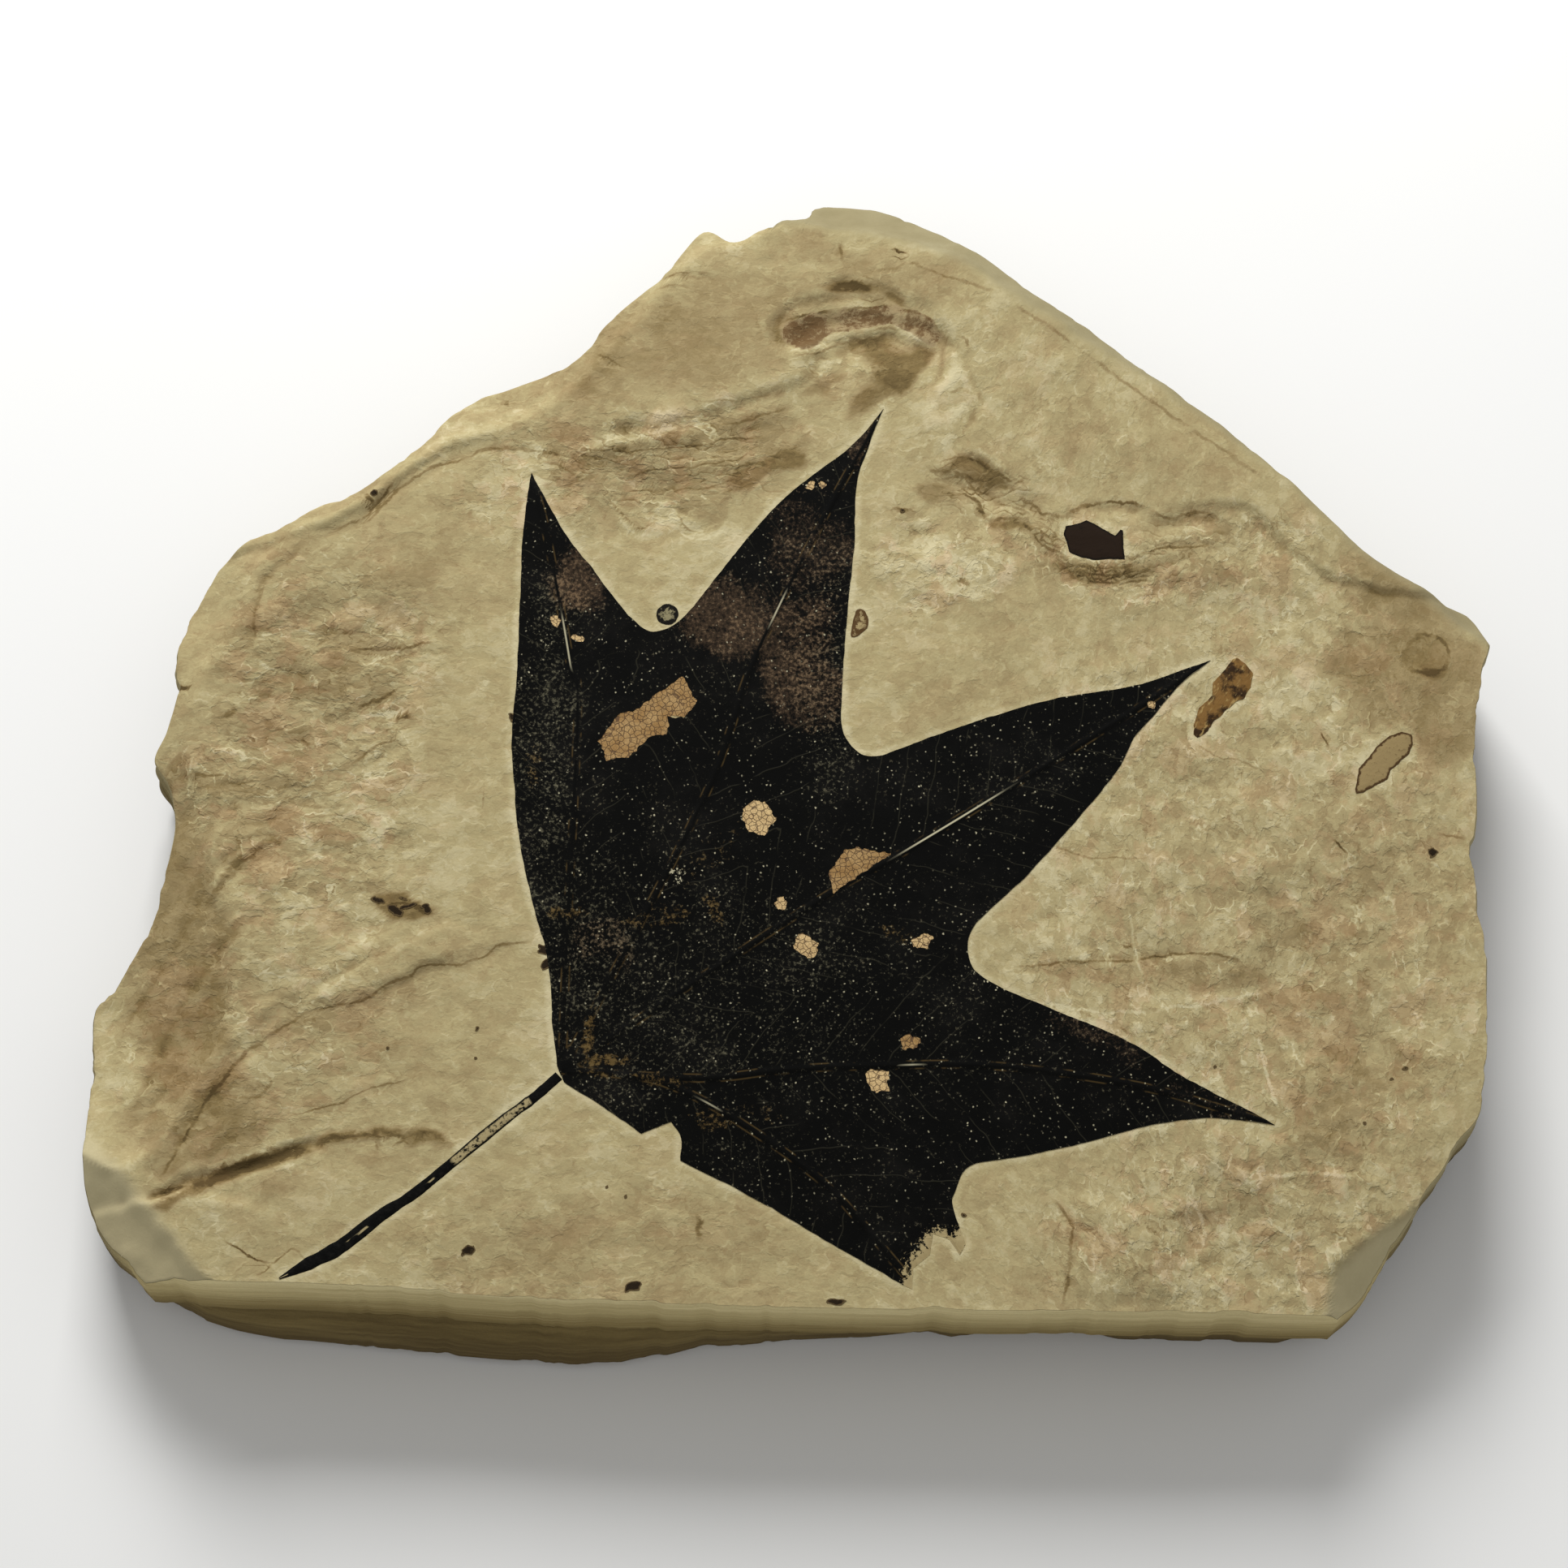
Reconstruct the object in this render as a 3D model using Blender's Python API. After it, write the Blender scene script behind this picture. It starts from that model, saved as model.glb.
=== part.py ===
"""Fossil leaf plate: a flat slab of layered lake stone lying face up. Its top carries a five-lobed leaf
with its stem and a few smaller plant fossils, each a thin film of its own. Metres, +Z up.

Outlines are read off a plan of the top face in millimetres; metres() sets them about the slab's middle.
"""

import bmesh
import bpy
import numpy as np

MM = 0.001

# Heights
LEAF_PLANE = 36 * MM
FILM_GAP = 0.3 * MM
FILM_THICK = 0.6 * MM

# Share of its sideways distance by which a segment wins a tie for the nearest
SIDE_TIE = 1e-6

# Middle of the slab's box, in the plan's millimetres
PLAN_MIDDLE = (3.8, 14.4)

# Grid of the slab's top face, and the level ground kept round each film, in millimetres
COLUMNS, ROWS = 60, 50
LEVEL_GROUND = 7.5
LEVEL_FADE = 6.0

# The four sides of the top face, each west to east or south to north
FRONT_SIDE = [(-149.4, -121.3), (-131, -122.6), (-110, -123), (-80, -125), (-45, -127.2), (0, -128.6),
              (60, -129.6), (100, -129.9), (128.5, -130.5)]
RIGHT_SIDE = [(128.5, -130.5), (135.2, -124.4), (141.8, -113.9), (147, -106.4), (150, -101), (154.2, -96),
              (158.1, -89.3), (163.8, -82), (166.4, -66), (167.3, -50), (167.9, -41), (166.8, -30),
              (166.3, -18), (168, -5), (168.8, 14), (171.3, 27), (174, 37)]
BACK_SIDE = [(-141.3, 58.5), (-134, 65.5), (-127, 68.5), (-115, 75), (-107, 78), (-97, 86), (-90, 93.3),
             (-80.4, 104.5), (-70, 108.5), (-58, 112.8), (-49.5, 118.7), (-47.5, 122.5), (-42.5, 128.5),
             (-36, 134), (-28, 142.5), (-20.5, 152.2), (-13, 148), (-5, 152.3), (5, 157), (8.6, 162.6),
             (15, 163.8), (31.5, 159.9), (50, 147.6), (64, 134.6), (75, 127.2), (85, 118.5), (110, 96.5),
             (126, 81), (145, 61), (160, 51.5), (170.4, 46.4), (174, 37)]
LEFT_SIDE = [(-149.4, -121.3), (-160, -110.2), (-164.2, -101.2), (-165.2, -92), (-165.3, -80),
             (-165.7, -66), (-166.2, -53.5), (-161.4, -47.9), (-154.5, -36.5), (-150.8, -24), (-148.1, -10),
             (-149.9, 0.5), (-154.1, 8), (-151.3, 15), (-149, 26), (-150.8, 33), (-148, 45),
             (-141.3, 58.5)]

# Where the top rolls off to the broken or worn edge: the crest line walked clockwise, and the fall per
# millimetre past it
ROLL_OFFS = [
    ([(-126, -130), (-131, -123), (-139, -116), (-138, -110), (-146, -107), (-151, -100), (-158, -93),
      (-163, -86), (-172, -80)], 0.75),
    ([(-160, -100), (-150, -95), (-142, -86), (-134, -72), (-129, -58), (-131, -40), (-135, -24),
      (-138, -6), (-143, 6), (-143, 20), (-139, 32), (-132, 42), (-130, 52), (-123, 62), (-104, 73),
      (-88, 87), (-72, 93), (-57, 101), (-46, 112), (-36, 124), (-22, 141), (-8, 146), (4, 155)], 0.4),
    ([(0, 152), (12, 150), (22, 149.5), (45, 140.5), (60, 129.5), (75, 118.5), (86, 110.5), (100, 101.5),
      (125, 79), (146, 57.5), (157, 49.5), (166, 41), (174, 34)], 0.8),
    ([(158, -92), (149.5, -101.5), (143, -106.5), (135, -112), (128, -119), (125, -126), (123, -134)], 1.1),
]

# Ledges: an edge with the higher ground on its left, its height, and how wide its step is
LEDGES = [
    ([(-175, 62), (-134, 62), (-118, 66), (-104, 72), (-88, 86), (-72, 91), (-52, 92), (-30, 96), (-12, 102),
      (2, 106), (10, 112), (8, 117), (-2, 121), (2, 129), (20, 132), (34, 130), (41, 121), (45, 111),
      (49, 100), (42, 89), (37, 85), (46, 87), (57, 80), (68, 72), (80, 75), (92, 72), (113, 72),
      (126, 62), (146, 50), (185, 50)], 1.2, 3),
    ([(-100, -150), (-96, -131), (-100, -116), (-122, -104), (-140, -101), (-175, -104)], 1.2, 3),
]

# Hollows, and ridges where the depth is less than zero: a closed edge walked anticlockwise, the depth, and
# how wide the edge's slope is
HOLLOWS = [
    ([(-90, -40), (-86, -20), (-90, 5), (-84, 30), (-88, 46), (-100, 53), (-118, 52), (-128, 40),
      (-134, 20), (-138, 0), (-130, -15), (-122, -30), (-106, -44)], 1.3, 9),
    ([(-148, -105), (-128, -99), (-108, -93), (-110, -88), (-130, -94), (-150, -101)], 1.3, 3),
    ([(-60, 92), (-62, 78), (-48, 68), (-30, 66), (-12, 74), (4, 88), (10, 104), (-12, 100), (-30, 95)],
     1.2, 8),
    ([(8, 104), (24, 101), (38, 104), (44, 117), (38, 127), (20, 130), (2, 126), (2, 118), (12, 115)],
     1.6, 4),
    ([(34, 82), (44, 76), (52, 70), (66, 66), (72, 71), (62, 79), (52, 84), (40, 86)], 1.5, 4),
    ([(68, 59), (74, 54), (86, 53), (100, 58), (104, 63), (90, 61.5), (78, 60)], 1.0, 3),
    ([(112, -18), (110, -58), (118, -98), (146, -96), (156, -60), (150, -20), (130, -12)], 1.0, 12),
    ([(96, -98), (92, -118), (112, -124), (122, -110), (114, -98)], 0.9, 5),
    ([(38, 88), (47, 92), (51, 101), (47, 112), (41, 121), (37, 108), (35, 96)], -0.9, 4),
    ([(30, 56), (46, 50), (60, 56), (58, 66), (44, 70), (32, 66)], -0.6, 7),
    ([(64, -104), (66, -128), (92, -127), (84, -106)], -0.7, 5),
    ([(-114, -59), (-100, -54.5), (-90, -49.5), (-78, -46), (-66, -41), (-80, -35), (-98, -42), (-110, -51)],
     -0.8, 3),
]

# Low swell of the top face: its height, and how far it runs along X and Y for each radian of each wave
SWELL = 0.45
SWELL_WAVES = [(17, 41), (-29, 13)]

# The sides: share of the way down, how far the layer there stands out past the top edge, and the share of
# the front's foot that it takes
STRATA = [(0.03, 0.5, 0), (0.2, 0.9, 0), (0.4, 0.9, 0.05), (0.62, 1.3, 0.1), (0.66, -0.8, 0.3),
          (0.72, 0.2, 0.7), (0.9, 0.5, 1), (1, -0.2, 1)]

# How far the foot stands out past the front edge at each place along it, and how far round the corners
FRONT_FOOT = [(-150, -3), (-142, 1.4), (-138, 2.7), (-130, 4.7), (-120, 6.4), (-90, 7.9), (-50, 8.4),
              (-40, 7.9), (-30, 5.7), (-20, 2.8), (-10, 2.3), (0, 0.9), (10, 0.2), (20, -0.3), (30, -1.5),
              (40, -0.6), (55, -3), (70, -2.9), (80, -0.6), (90, -0.3), (118, -0.2), (128, -3.2)]
FRONT_DEPTH = 14.0

# Swell of the other sides: its height, its run along each axis, and its shift from top to bottom
SIDE_SWELL = 0.7
SIDE_RUNS = (11, 8)
SIDE_SHIFTS = (17, -23)

# The leaf blade: runs of points between its sharp corners, clockwise from the tip of the left lobe
LEAF_RUNS = [
    [(-63.4, 83), (-59.5, 75.5), (-54, 65.5), (-48, 57.5), (-42, 49), (-37.5, 43.5), (-33, 40), (-28, 41.3),
     (-23, 46), (-15, 57), (-8, 66.5), (0, 76), (8, 83), (15.5, 89), (21, 95), (25, 100.7)],
    [(25, 100.7), (21.3, 90.5), (18.2, 80), (17.4, 63), (15.5, 43.5), (14.3, 26), (14.3, 14.5), (18, 8.2),
     (23, 7.3), (30, 9.8), (45, 15.5), (65, 21.9), (85, 25.3), (96, 29), (105, 32.4)],
    [(105, 32.4), (97.5, 26.3), (91, 18.5), (85.5, 12), (82, 5), (75, -4.3), (66, -15), (57, -25),
     (48, -33.5), (44.2, -39), (45, -46.5), (52, -51.7), (65, -57.5), (82, -65.2), (95, -74), (115.6, -85.2)],
    [(115.6, -85.2), (106, -84.1), (97.5, -83.8), (85, -85.7), (70, -89.8), (54, -93.2), (43.5, -95.2),
     (40.2, -101), (39.4, -105), (42.2, -114)],
    [(42.2, -114), (40.8, -116.5)], [(40.8, -116.5), (38.5, -113)], [(38.5, -113), (34.6, -111.4)],
    [(34.6, -111.4), (34, -116.4)], [(34, -116.4), (30, -119.6)], [(30, -119.6), (29.6, -124.6)],
    [(29.6, -124.6), (20, -119), (8, -112), (0, -107), (-12, -100.3), (-24.4, -94)],
    [(-24.4, -94), (-24.2, -88.5), (-26.5, -84.6)], [(-26.5, -84.6), (-33.5, -87.5)],
    [(-33.5, -87.5), (-44, -80), (-52, -75)], [(-52, -75), (-53.6, -71)],
    [(-53.6, -71), (-55, -60), (-56.4, -45), (-60.5, -30), (-64, -14), (-66, 4), (-66.5, 14), (-65.6, 30),
     (-65.3, 52), (-65.1, 66), (-63.4, 83)],
]

# Windows worn through the blade down to the stone
LEAF_WINDOWS = [
    [(-25, 28), (-21.5, 21.5), (-24, 17.3), (-28.3, 17.6), (-28.5, 13), (-33, 12), (-38, 6.8), (-43.2, 6.2),
     (-45.3, 11), (-40.7, 18), (-35.6, 19.6), (-31, 23.8)],
    [(-7.5, -4.3), (-4.7, -4.6), (-1.6, -9), (-5, -13), (-8.6, -12.5), (-10, -9), (-9.8, -6)],
    [(14.5, -17), (18, -16.3), (26, -17.8), (19, -22.7), (12, -28), (10.5, -23)],
    [(4.5, -38), (8.2, -40.3), (7.5, -44.2), (5.5, -44.6), (2.4, -41.8), (2.8, -39.2)],
    [(30, -39.6), (33.5, -37.7), (35.8, -39.3), (34, -42), (31, -41.3)],
    [(27.3, -64), (30, -63.2), (32.7, -64.3), (31.5, -66.5), (28, -66.8)],
    [(19.3, -73), (20.5, -71.8), (24.7, -72.3), (24.6, -77), (20.5, -77.2)],
    [(-53, 38.6), (-51.5, 39.7), (-49, 38.4), (-49.4, 37.4), (-52, 37.6)],
]

# The stem: middle line with the width there
STEM_LINE = [(-54.3, -74.9, 2.4), (-59, -78.7, 2.6), (-66.1, -84.3, 2.6), (-80, -96.4, 2.4),
             (-86.9, -102.2, 2.4), (-93.9, -107, 2.9), (-103, -114.4, 3.4), (-110, -118.3, 3),
             (-117, -122, 0.5)]

# The smaller fossils, anticlockwise
LEAF_SCRAP = [(70.2, 61.6), (76, 59.2), (84.6, 59.4), (84.2, 67.6), (80.5, 66.3), (75.5, 70),
              (70.2, 67.8)]
SEED_HUSK = [(101, 11.8), (104, 17), (111.8, 22.6), (115.4, 28.6), (111.6, 33), (105, 26.4), (104, 21.8),
             (99.9, 15.6)]
WINGED_SEED = [(138, -2.2), (147.6, 1.8), (149, 5.5), (153.6, 9), (151.4, 13.7), (146, 11.4), (139.6, 2)]
HUSK_FLAKE = [(16.6, 38.4), (20.6, 41), (20.2, 45.4), (18, 45.8), (17, 42)]
ROUND_SEED_MIDDLE, ROUND_SEED_RADIUS, ROUND_SEED_SIDES = (-28.8, 44.6), 2.7, 20

# Finishes: name, colour and roughness
STONE = ("pale lake stone", (0.47, 0.42, 0.26), 0.9)
CARBON = ("black leaf carbon", (0.012, 0.011, 0.010), 0.6)
BROWN = ("brown husk", (0.10, 0.05, 0.02), 0.7)
TAN = ("tan seed film", (0.30, 0.22, 0.12), 0.8)
DARK_SEED = ("dark seed film", (0.04, 0.035, 0.03), 0.7)


def smooth_path(points, steps):
    """A Catmull-Rom curve through the points, with this many steps in each span."""
    p = np.array(points, float)
    p = np.vstack([2 * p[0] - p[1], p, 2 * p[-1] - p[-2]])
    t = np.linspace(0, 1, steps, endpoint=False)[:, None]
    spans = [b + 0.5 * t * ((c - a) + t * ((2 * a - 5 * b + 4 * c - d) + t * (3 * b - a - 3 * c + d)))
             for a, b, c, d in zip(p, p[1:], p[2:], p[3:])]
    return np.vstack(spans + [p[-2:-1]])


def closed_path(points, steps):
    """The same curve through the points and back to the first."""
    ring = list(points[-1:]) + list(points) + list(points[:2])
    return smooth_path(ring, steps)[steps:-steps - 1]


def metres(plan_points):
    """Plan millimetres to metres about the slab's middle."""
    return (np.asarray(plan_points, float) - PLAN_MIDDLE) * MM


def along(side, share):
    """The point at each share of the side's length."""
    path = smooth_path(side, 8)
    run = np.concatenate([[0], np.cumsum(np.hypot(*np.diff(path, axis=0).T))])
    return np.stack([np.interp(share * run[-1], run, path[:, axis]) for axis in (0, 1)], axis=-1)


def top_plan(u, v):
    """A Coons patch: the four sides blended over the unit square, less the corners counted twice."""
    u, v = u[:, None], v[:, None]
    across = (1 - v) * along(FRONT_SIDE, u[:, 0]) + v * along(BACK_SIDE, u[:, 0])
    upward = (1 - u) * along(LEFT_SIDE, v[:, 0]) + u * along(RIGHT_SIDE, v[:, 0])
    corners = ((1 - u) * (1 - v) * FRONT_SIDE[0] + u * (1 - v) * FRONT_SIDE[-1]
               + (1 - u) * v * BACK_SIDE[0] + u * v * BACK_SIDE[-1])
    return across + upward - corners


def left_of(points, path):
    """How far each point lies to the left of the path, less than zero on its right. Where two segments
    meet at the nearest place, the one that the point stands off more to the side of tells which."""
    start, step = path[:-1], np.diff(path, axis=0)
    reach = points[:, None] - start
    share = np.clip((reach * step).sum(axis=2) / (step ** 2).sum(axis=1), 0, 1)
    gap = np.linalg.norm(reach - share[..., None] * step, axis=2)
    off_line = (step[:, 0] * reach[..., 1] - step[:, 1] * reach[..., 0]) / np.linalg.norm(step, axis=1)
    row, near = np.arange(len(points)), (gap - SIDE_TIE * abs(off_line)).argmin(axis=1)
    return np.copysign(gap[row, near], off_line[row, near])


def ease(share):
    """0 to 1 with no corner at either end."""
    share = np.clip(share, 0, 1)
    return share * share * (3 - 2 * share)


def film_outlines():
    """Closed plan outline of every film."""
    smalls = [LEAF_SCRAP, SEED_HUSK, WINGED_SEED, HUSK_FLAKE, round_seed_outline()]
    return [leaf_outline(), stem_outline()] + [np.array(outline, float) for outline in smalls]


def openness(points):
    """0 on the level ground that each film lies on, 1 well away from it."""
    nearest = np.full(len(points), np.inf)
    for outline in film_outlines():
        inside = left_of(points, np.vstack([outline, outline[:1]]))
        nearest = np.minimum(nearest, -inside)
    return ease((nearest - LEVEL_GROUND) / LEVEL_FADE)


def top_height(points):
    """Height of the top face in millimetres: ledges, hollows and a low swell where no film lies, all cut
    off by the steepest roll-off there."""
    relief = SWELL * sum(np.sin(points @ (1 / np.array(run))) for run in SWELL_WAVES)
    for edge, rise, width in LEDGES:
        relief += rise * ease(left_of(points, smooth_path(edge, 3)) / width)
    for edge, depth, width in HOLLOWS:
        ring = closed_path(edge, 3)
        relief -= depth * ease(left_of(points, np.vstack([ring, ring[:1]])) / width)
    fall = np.zeros(len(points))
    for crest, slope in ROLL_OFFS:
        fall = np.maximum(fall, slope * left_of(points, smooth_path(crest, 3)))
    return LEAF_PLANE / MM + relief * openness(points) - fall


def side_reach(points, down, layer, foot_share):
    """How far a layer's edge stands out past the top edge: its own reach, a swell that shifts from layer to
    layer, and on the front its share of the foot."""
    front = ease((FRONT_SIDE[0][1] + FRONT_DEPTH - points[:, 1]) / FRONT_DEPTH)
    swell = SIDE_SWELL * down * np.sin(points / SIDE_RUNS + np.array(SIDE_SHIFTS) * down).sum(axis=1)
    foot = foot_share * np.interp(points[:, 0], *zip(*FRONT_FOOT))
    return layer + (1 - front) * swell + front * foot


def leaf_outline():
    """The blade's runs joined anticlockwise, each corner kept sharp."""
    return np.vstack([smooth_path(run, 2)[:-1] for run in LEAF_RUNS])[::-1]


def stem_outline():
    """The stem's two edges, half its width either side of the middle line."""
    middle = smooth_path(STEM_LINE, 3)
    line, half = middle[:, :2], middle[:, 2:] / 2
    step = np.gradient(line, axis=0)
    normal = np.stack([-step[:, 1], step[:, 0]], axis=1) / np.linalg.norm(step, axis=1)[:, None]
    return np.vstack([line - half * normal, (line + half * normal)[::-1]])


def round_seed_outline():
    """A many-sided ring."""
    turn = np.linspace(0, 2 * np.pi, ROUND_SEED_SIDES, endpoint=False)
    return ROUND_SEED_MIDDLE + ROUND_SEED_RADIUS * np.stack([np.cos(turn), np.sin(turn)], axis=1)


def clear_scene():
    for obj in list(bpy.data.objects):
        bpy.data.objects.remove(obj)


def add_collection(name):
    collection = bpy.data.collections.new(name)
    bpy.context.scene.collection.children.link(collection)
    return collection


def add_material(name, colour, roughness):
    material = bpy.data.materials.new(name)
    material.use_nodes = True
    shader = material.node_tree.nodes["Principled BSDF"]
    shader.inputs["Base Color"].default_value = (*colour, 1)
    shader.inputs["Roughness"].default_value = roughness
    shader.inputs["Metallic"].default_value = 0
    return material


def add_object(name, data, collection, finish):
    obj = bpy.data.objects.new(name, data)
    data.materials.append(add_material(f"{name}, {finish[0]}", *finish[1:]))
    collection.objects.link(obj)
    return obj


def shape_top(bm):
    """Moves a flat unit grid onto the top face."""
    share = np.array([vert.co[:2] for vert in bm.verts]) + 0.5
    plan = top_plan(share[:, 0], share[:, 1])
    height = top_height(plan) * MM
    for vert, place, z in zip(bm.verts, metres(plan), height):
        vert.co = (*place, z)


def edge_verts(bm):
    """The top face's outer points, in order round the slab and anticlockwise."""
    ring = [next(vert for vert in bm.verts if vert.is_boundary)]
    while True:
        ahead = next(loop.link_loop_next.vert for loop in ring[-1].link_loops if loop.edge.is_boundary)
        if ahead is ring[0]:
            return ring
        ring.append(ahead)


def shape_sides(bm):
    """Carries the top's outer points down in rings, one for each layer edge, and closes the underside."""
    ring = edge_verts(bm)
    top = np.array([vert.co for vert in ring])
    plan = top[:, :2] / MM + PLAN_MIDDLE
    step = np.roll(top[:, :2], -2, axis=0) - np.roll(top[:, :2], 2, axis=0)
    outward = np.stack([step[:, 1], -step[:, 0]], axis=1) / np.linalg.norm(step, axis=1)[:, None]
    for down, layer, foot_share in STRATA:
        place = top[:, :2] + outward * side_reach(plan, down, layer, foot_share)[:, None] * MM
        lower = [bm.verts.new((x, y, z * (1 - down))) for (x, y), z in zip(place, top[:, 2])]
        for i, vert in enumerate(ring):
            bm.faces.new((lower[i], lower[i - 1], ring[i - 1], vert))
        ring = lower
    bm.faces.new(ring)
    bmesh.ops.recalc_face_normals(bm, faces=bm.faces)


def build_slab(collection):
    bm = bmesh.new()
    bmesh.ops.create_grid(bm, x_segments=COLUMNS, y_segments=ROWS, size=0.5)
    shape_top(bm)
    shape_sides(bm)
    mesh = bpy.data.meshes.new("slab")
    bm.to_mesh(mesh)
    bm.free()
    add_object("slab", mesh, collection, STONE)


def build_film(name, outline, collection, finish, windows=()):
    """A flat film cut to the outline, with its windows, just clear of the leaf plane."""
    curve = bpy.data.curves.new(name, "CURVE")
    curve.dimensions = "2D"
    curve.fill_mode = "BOTH"
    curve.extrude = FILM_THICK / 2
    for points in (outline, *windows):
        spline = curve.splines.new("POLY")
        spline.points.add(len(points) - 1)
        for point, place in zip(spline.points, metres(points)):
            point.co = (*place, 0, 1)
        spline.use_cyclic_u = True
    film = add_object(name, curve, collection, finish)
    film.location.z = LEAF_PLANE + FILM_GAP + FILM_THICK / 2


def main():
    clear_scene()
    plate = add_collection("fossil_leaf_plate")
    build_slab(plate)
    build_film("leaf_blade", leaf_outline(), plate, CARBON, LEAF_WINDOWS)
    build_film("leaf_stem", stem_outline(), plate, CARBON)
    build_film("leaf_scrap", LEAF_SCRAP, plate, CARBON)
    build_film("seed_husk", SEED_HUSK, plate, BROWN)
    build_film("winged_seed", WINGED_SEED, plate, TAN)
    build_film("husk_flake", HUSK_FLAKE, plate, BROWN)
    build_film("round_seed", round_seed_outline(), plate, DARK_SEED)


main()
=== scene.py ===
"""Looks of the fossil leaf plate: a slab of flaked lake stone lying face up, its black leaf and stem, and
the smaller plant fossils on it. Laid out as a Blender add-on and run as a script.

Outlines are in plan millimetres of the top face, heights in millimetres. metres() sets both in the frame.
Noise is called with its size in millimetres, its reach where it pushes points about, and its seed.
"""

import math

import bpy
import numpy as np
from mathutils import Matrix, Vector
from mathutils.geometry import delaunay_2d_cdt


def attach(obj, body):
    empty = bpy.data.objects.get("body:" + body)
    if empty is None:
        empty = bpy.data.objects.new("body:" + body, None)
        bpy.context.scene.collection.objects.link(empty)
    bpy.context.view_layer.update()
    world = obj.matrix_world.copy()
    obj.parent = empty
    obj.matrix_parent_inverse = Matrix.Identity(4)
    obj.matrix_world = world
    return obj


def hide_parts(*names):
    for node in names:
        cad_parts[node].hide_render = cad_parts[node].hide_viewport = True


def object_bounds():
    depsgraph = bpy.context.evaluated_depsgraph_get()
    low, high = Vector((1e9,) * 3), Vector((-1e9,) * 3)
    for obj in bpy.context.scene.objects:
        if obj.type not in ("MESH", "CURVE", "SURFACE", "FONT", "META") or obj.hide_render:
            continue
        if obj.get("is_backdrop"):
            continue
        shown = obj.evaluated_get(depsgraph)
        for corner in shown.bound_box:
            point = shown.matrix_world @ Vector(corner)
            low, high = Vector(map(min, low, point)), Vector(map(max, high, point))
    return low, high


bl_info = {
    "name": "Fossil leaf plate",
    "version": (1, 0, 0),
    "blender": (4, 5, 0),
    "location": "3D View > Sidebar > Fossil Plate",
    "description": "Builds a flaked stone slab with its fossil leaf, stem and small fossils, and a studio",
    "category": "Add Mesh",
}

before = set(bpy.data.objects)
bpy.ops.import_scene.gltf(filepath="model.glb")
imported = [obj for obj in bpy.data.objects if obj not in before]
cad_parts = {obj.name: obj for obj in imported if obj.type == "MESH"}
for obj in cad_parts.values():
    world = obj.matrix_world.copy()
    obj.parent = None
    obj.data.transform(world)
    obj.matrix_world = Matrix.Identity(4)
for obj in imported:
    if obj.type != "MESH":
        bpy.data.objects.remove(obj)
CAD_LOW, CAD_HIGH = (np.array(corner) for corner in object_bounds())

MM = 0.001
NO_NOISE = (1, 0, 0)
LEAF_PLANE = 36.0
PLAN_MIDDLE = np.array((3.8, 14.4))

# The four sides of the top face, each west to east or south to north
FRONT_SIDE = [(-149.4, -121.3), (-131, -122.6), (-110, -123), (-80, -125), (-45, -127.2), (0, -128.6),
              (60, -129.6), (100, -129.9), (128.5, -130.5)]
RIGHT_SIDE = [(128.5, -130.5), (135.2, -124.4), (141.8, -113.9), (147, -106.4), (150, -101), (154.2, -96),
              (158.1, -89.3), (163.8, -82), (166.4, -66), (167.3, -50), (167.9, -41), (166.8, -30),
              (166.3, -18), (168, -5), (168.8, 14), (171.3, 27), (174, 37)]
BACK_SIDE = [(-141.3, 58.5), (-134, 65.5), (-127, 68.5), (-115, 75), (-107, 78), (-97, 86), (-90, 93.3),
             (-80.4, 104.5), (-70, 108.5), (-58, 112.8), (-49.5, 118.7), (-47.5, 122.5), (-42.5, 128.5),
             (-36, 134), (-28, 142.5), (-20.5, 152.2), (-13, 148), (-5, 152.3), (5, 157), (8.6, 162.6),
             (15, 163.8), (31.5, 159.9), (50, 147.6), (64, 134.6), (75, 127.2), (85, 118.5), (110, 96.5),
             (126, 81), (145, 61), (160, 51.5), (170.4, 46.4), (174, 37)]
LEFT_SIDE = [(-149.4, -121.3), (-160, -110.2), (-164.2, -101.2), (-165.2, -92), (-165.3, -80),
             (-165.7, -66), (-166.2, -53.5), (-161.4, -47.9), (-154.5, -36.5), (-150.8, -24), (-148.1, -10),
             (-149.9, 0.5), (-154.1, 8), (-151.3, 15), (-149, 26), (-150.8, 33), (-148, 45),
             (-141.3, 58.5)]

# Where the top rolls off to the broken or worn edge: the crest line walked clockwise, the fall per
# millimetre past it, and whether it is worn smooth
ROLL_OFFS = [
    ([(-124, -134), (-131, -124), (-137, -117), (-143, -109.5), (-149, -102), (-157, -93), (-165, -85),
      (-174, -78)], 0.8, 1),
    ([(-160, -100), (-150, -95), (-142, -86), (-134, -72), (-129, -58), (-131, -40), (-135, -24),
      (-138, -6), (-143, 6), (-143, 20), (-139, 32), (-132, 42), (-130, 52), (-123, 62), (-104, 73),
      (-88, 87), (-72, 93), (-57, 101), (-46, 112), (-36, 124), (-22, 141), (-8, 146), (4, 155)], 0.4, 0),
    ([(0, 152), (12, 150), (22, 149.5), (45, 140.5), (60, 129.5), (75, 118.5), (86, 110.5), (100, 101.5),
      (125, 79), (146, 57.5), (157, 49.5), (166, 41), (174, 34)], 0.8, 1),
    ([(158, -92), (149.5, -101.5), (143, -106.5), (135, -112), (128, -119), (125, -126), (123, -134)],
     1.1, 1),
]

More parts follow.
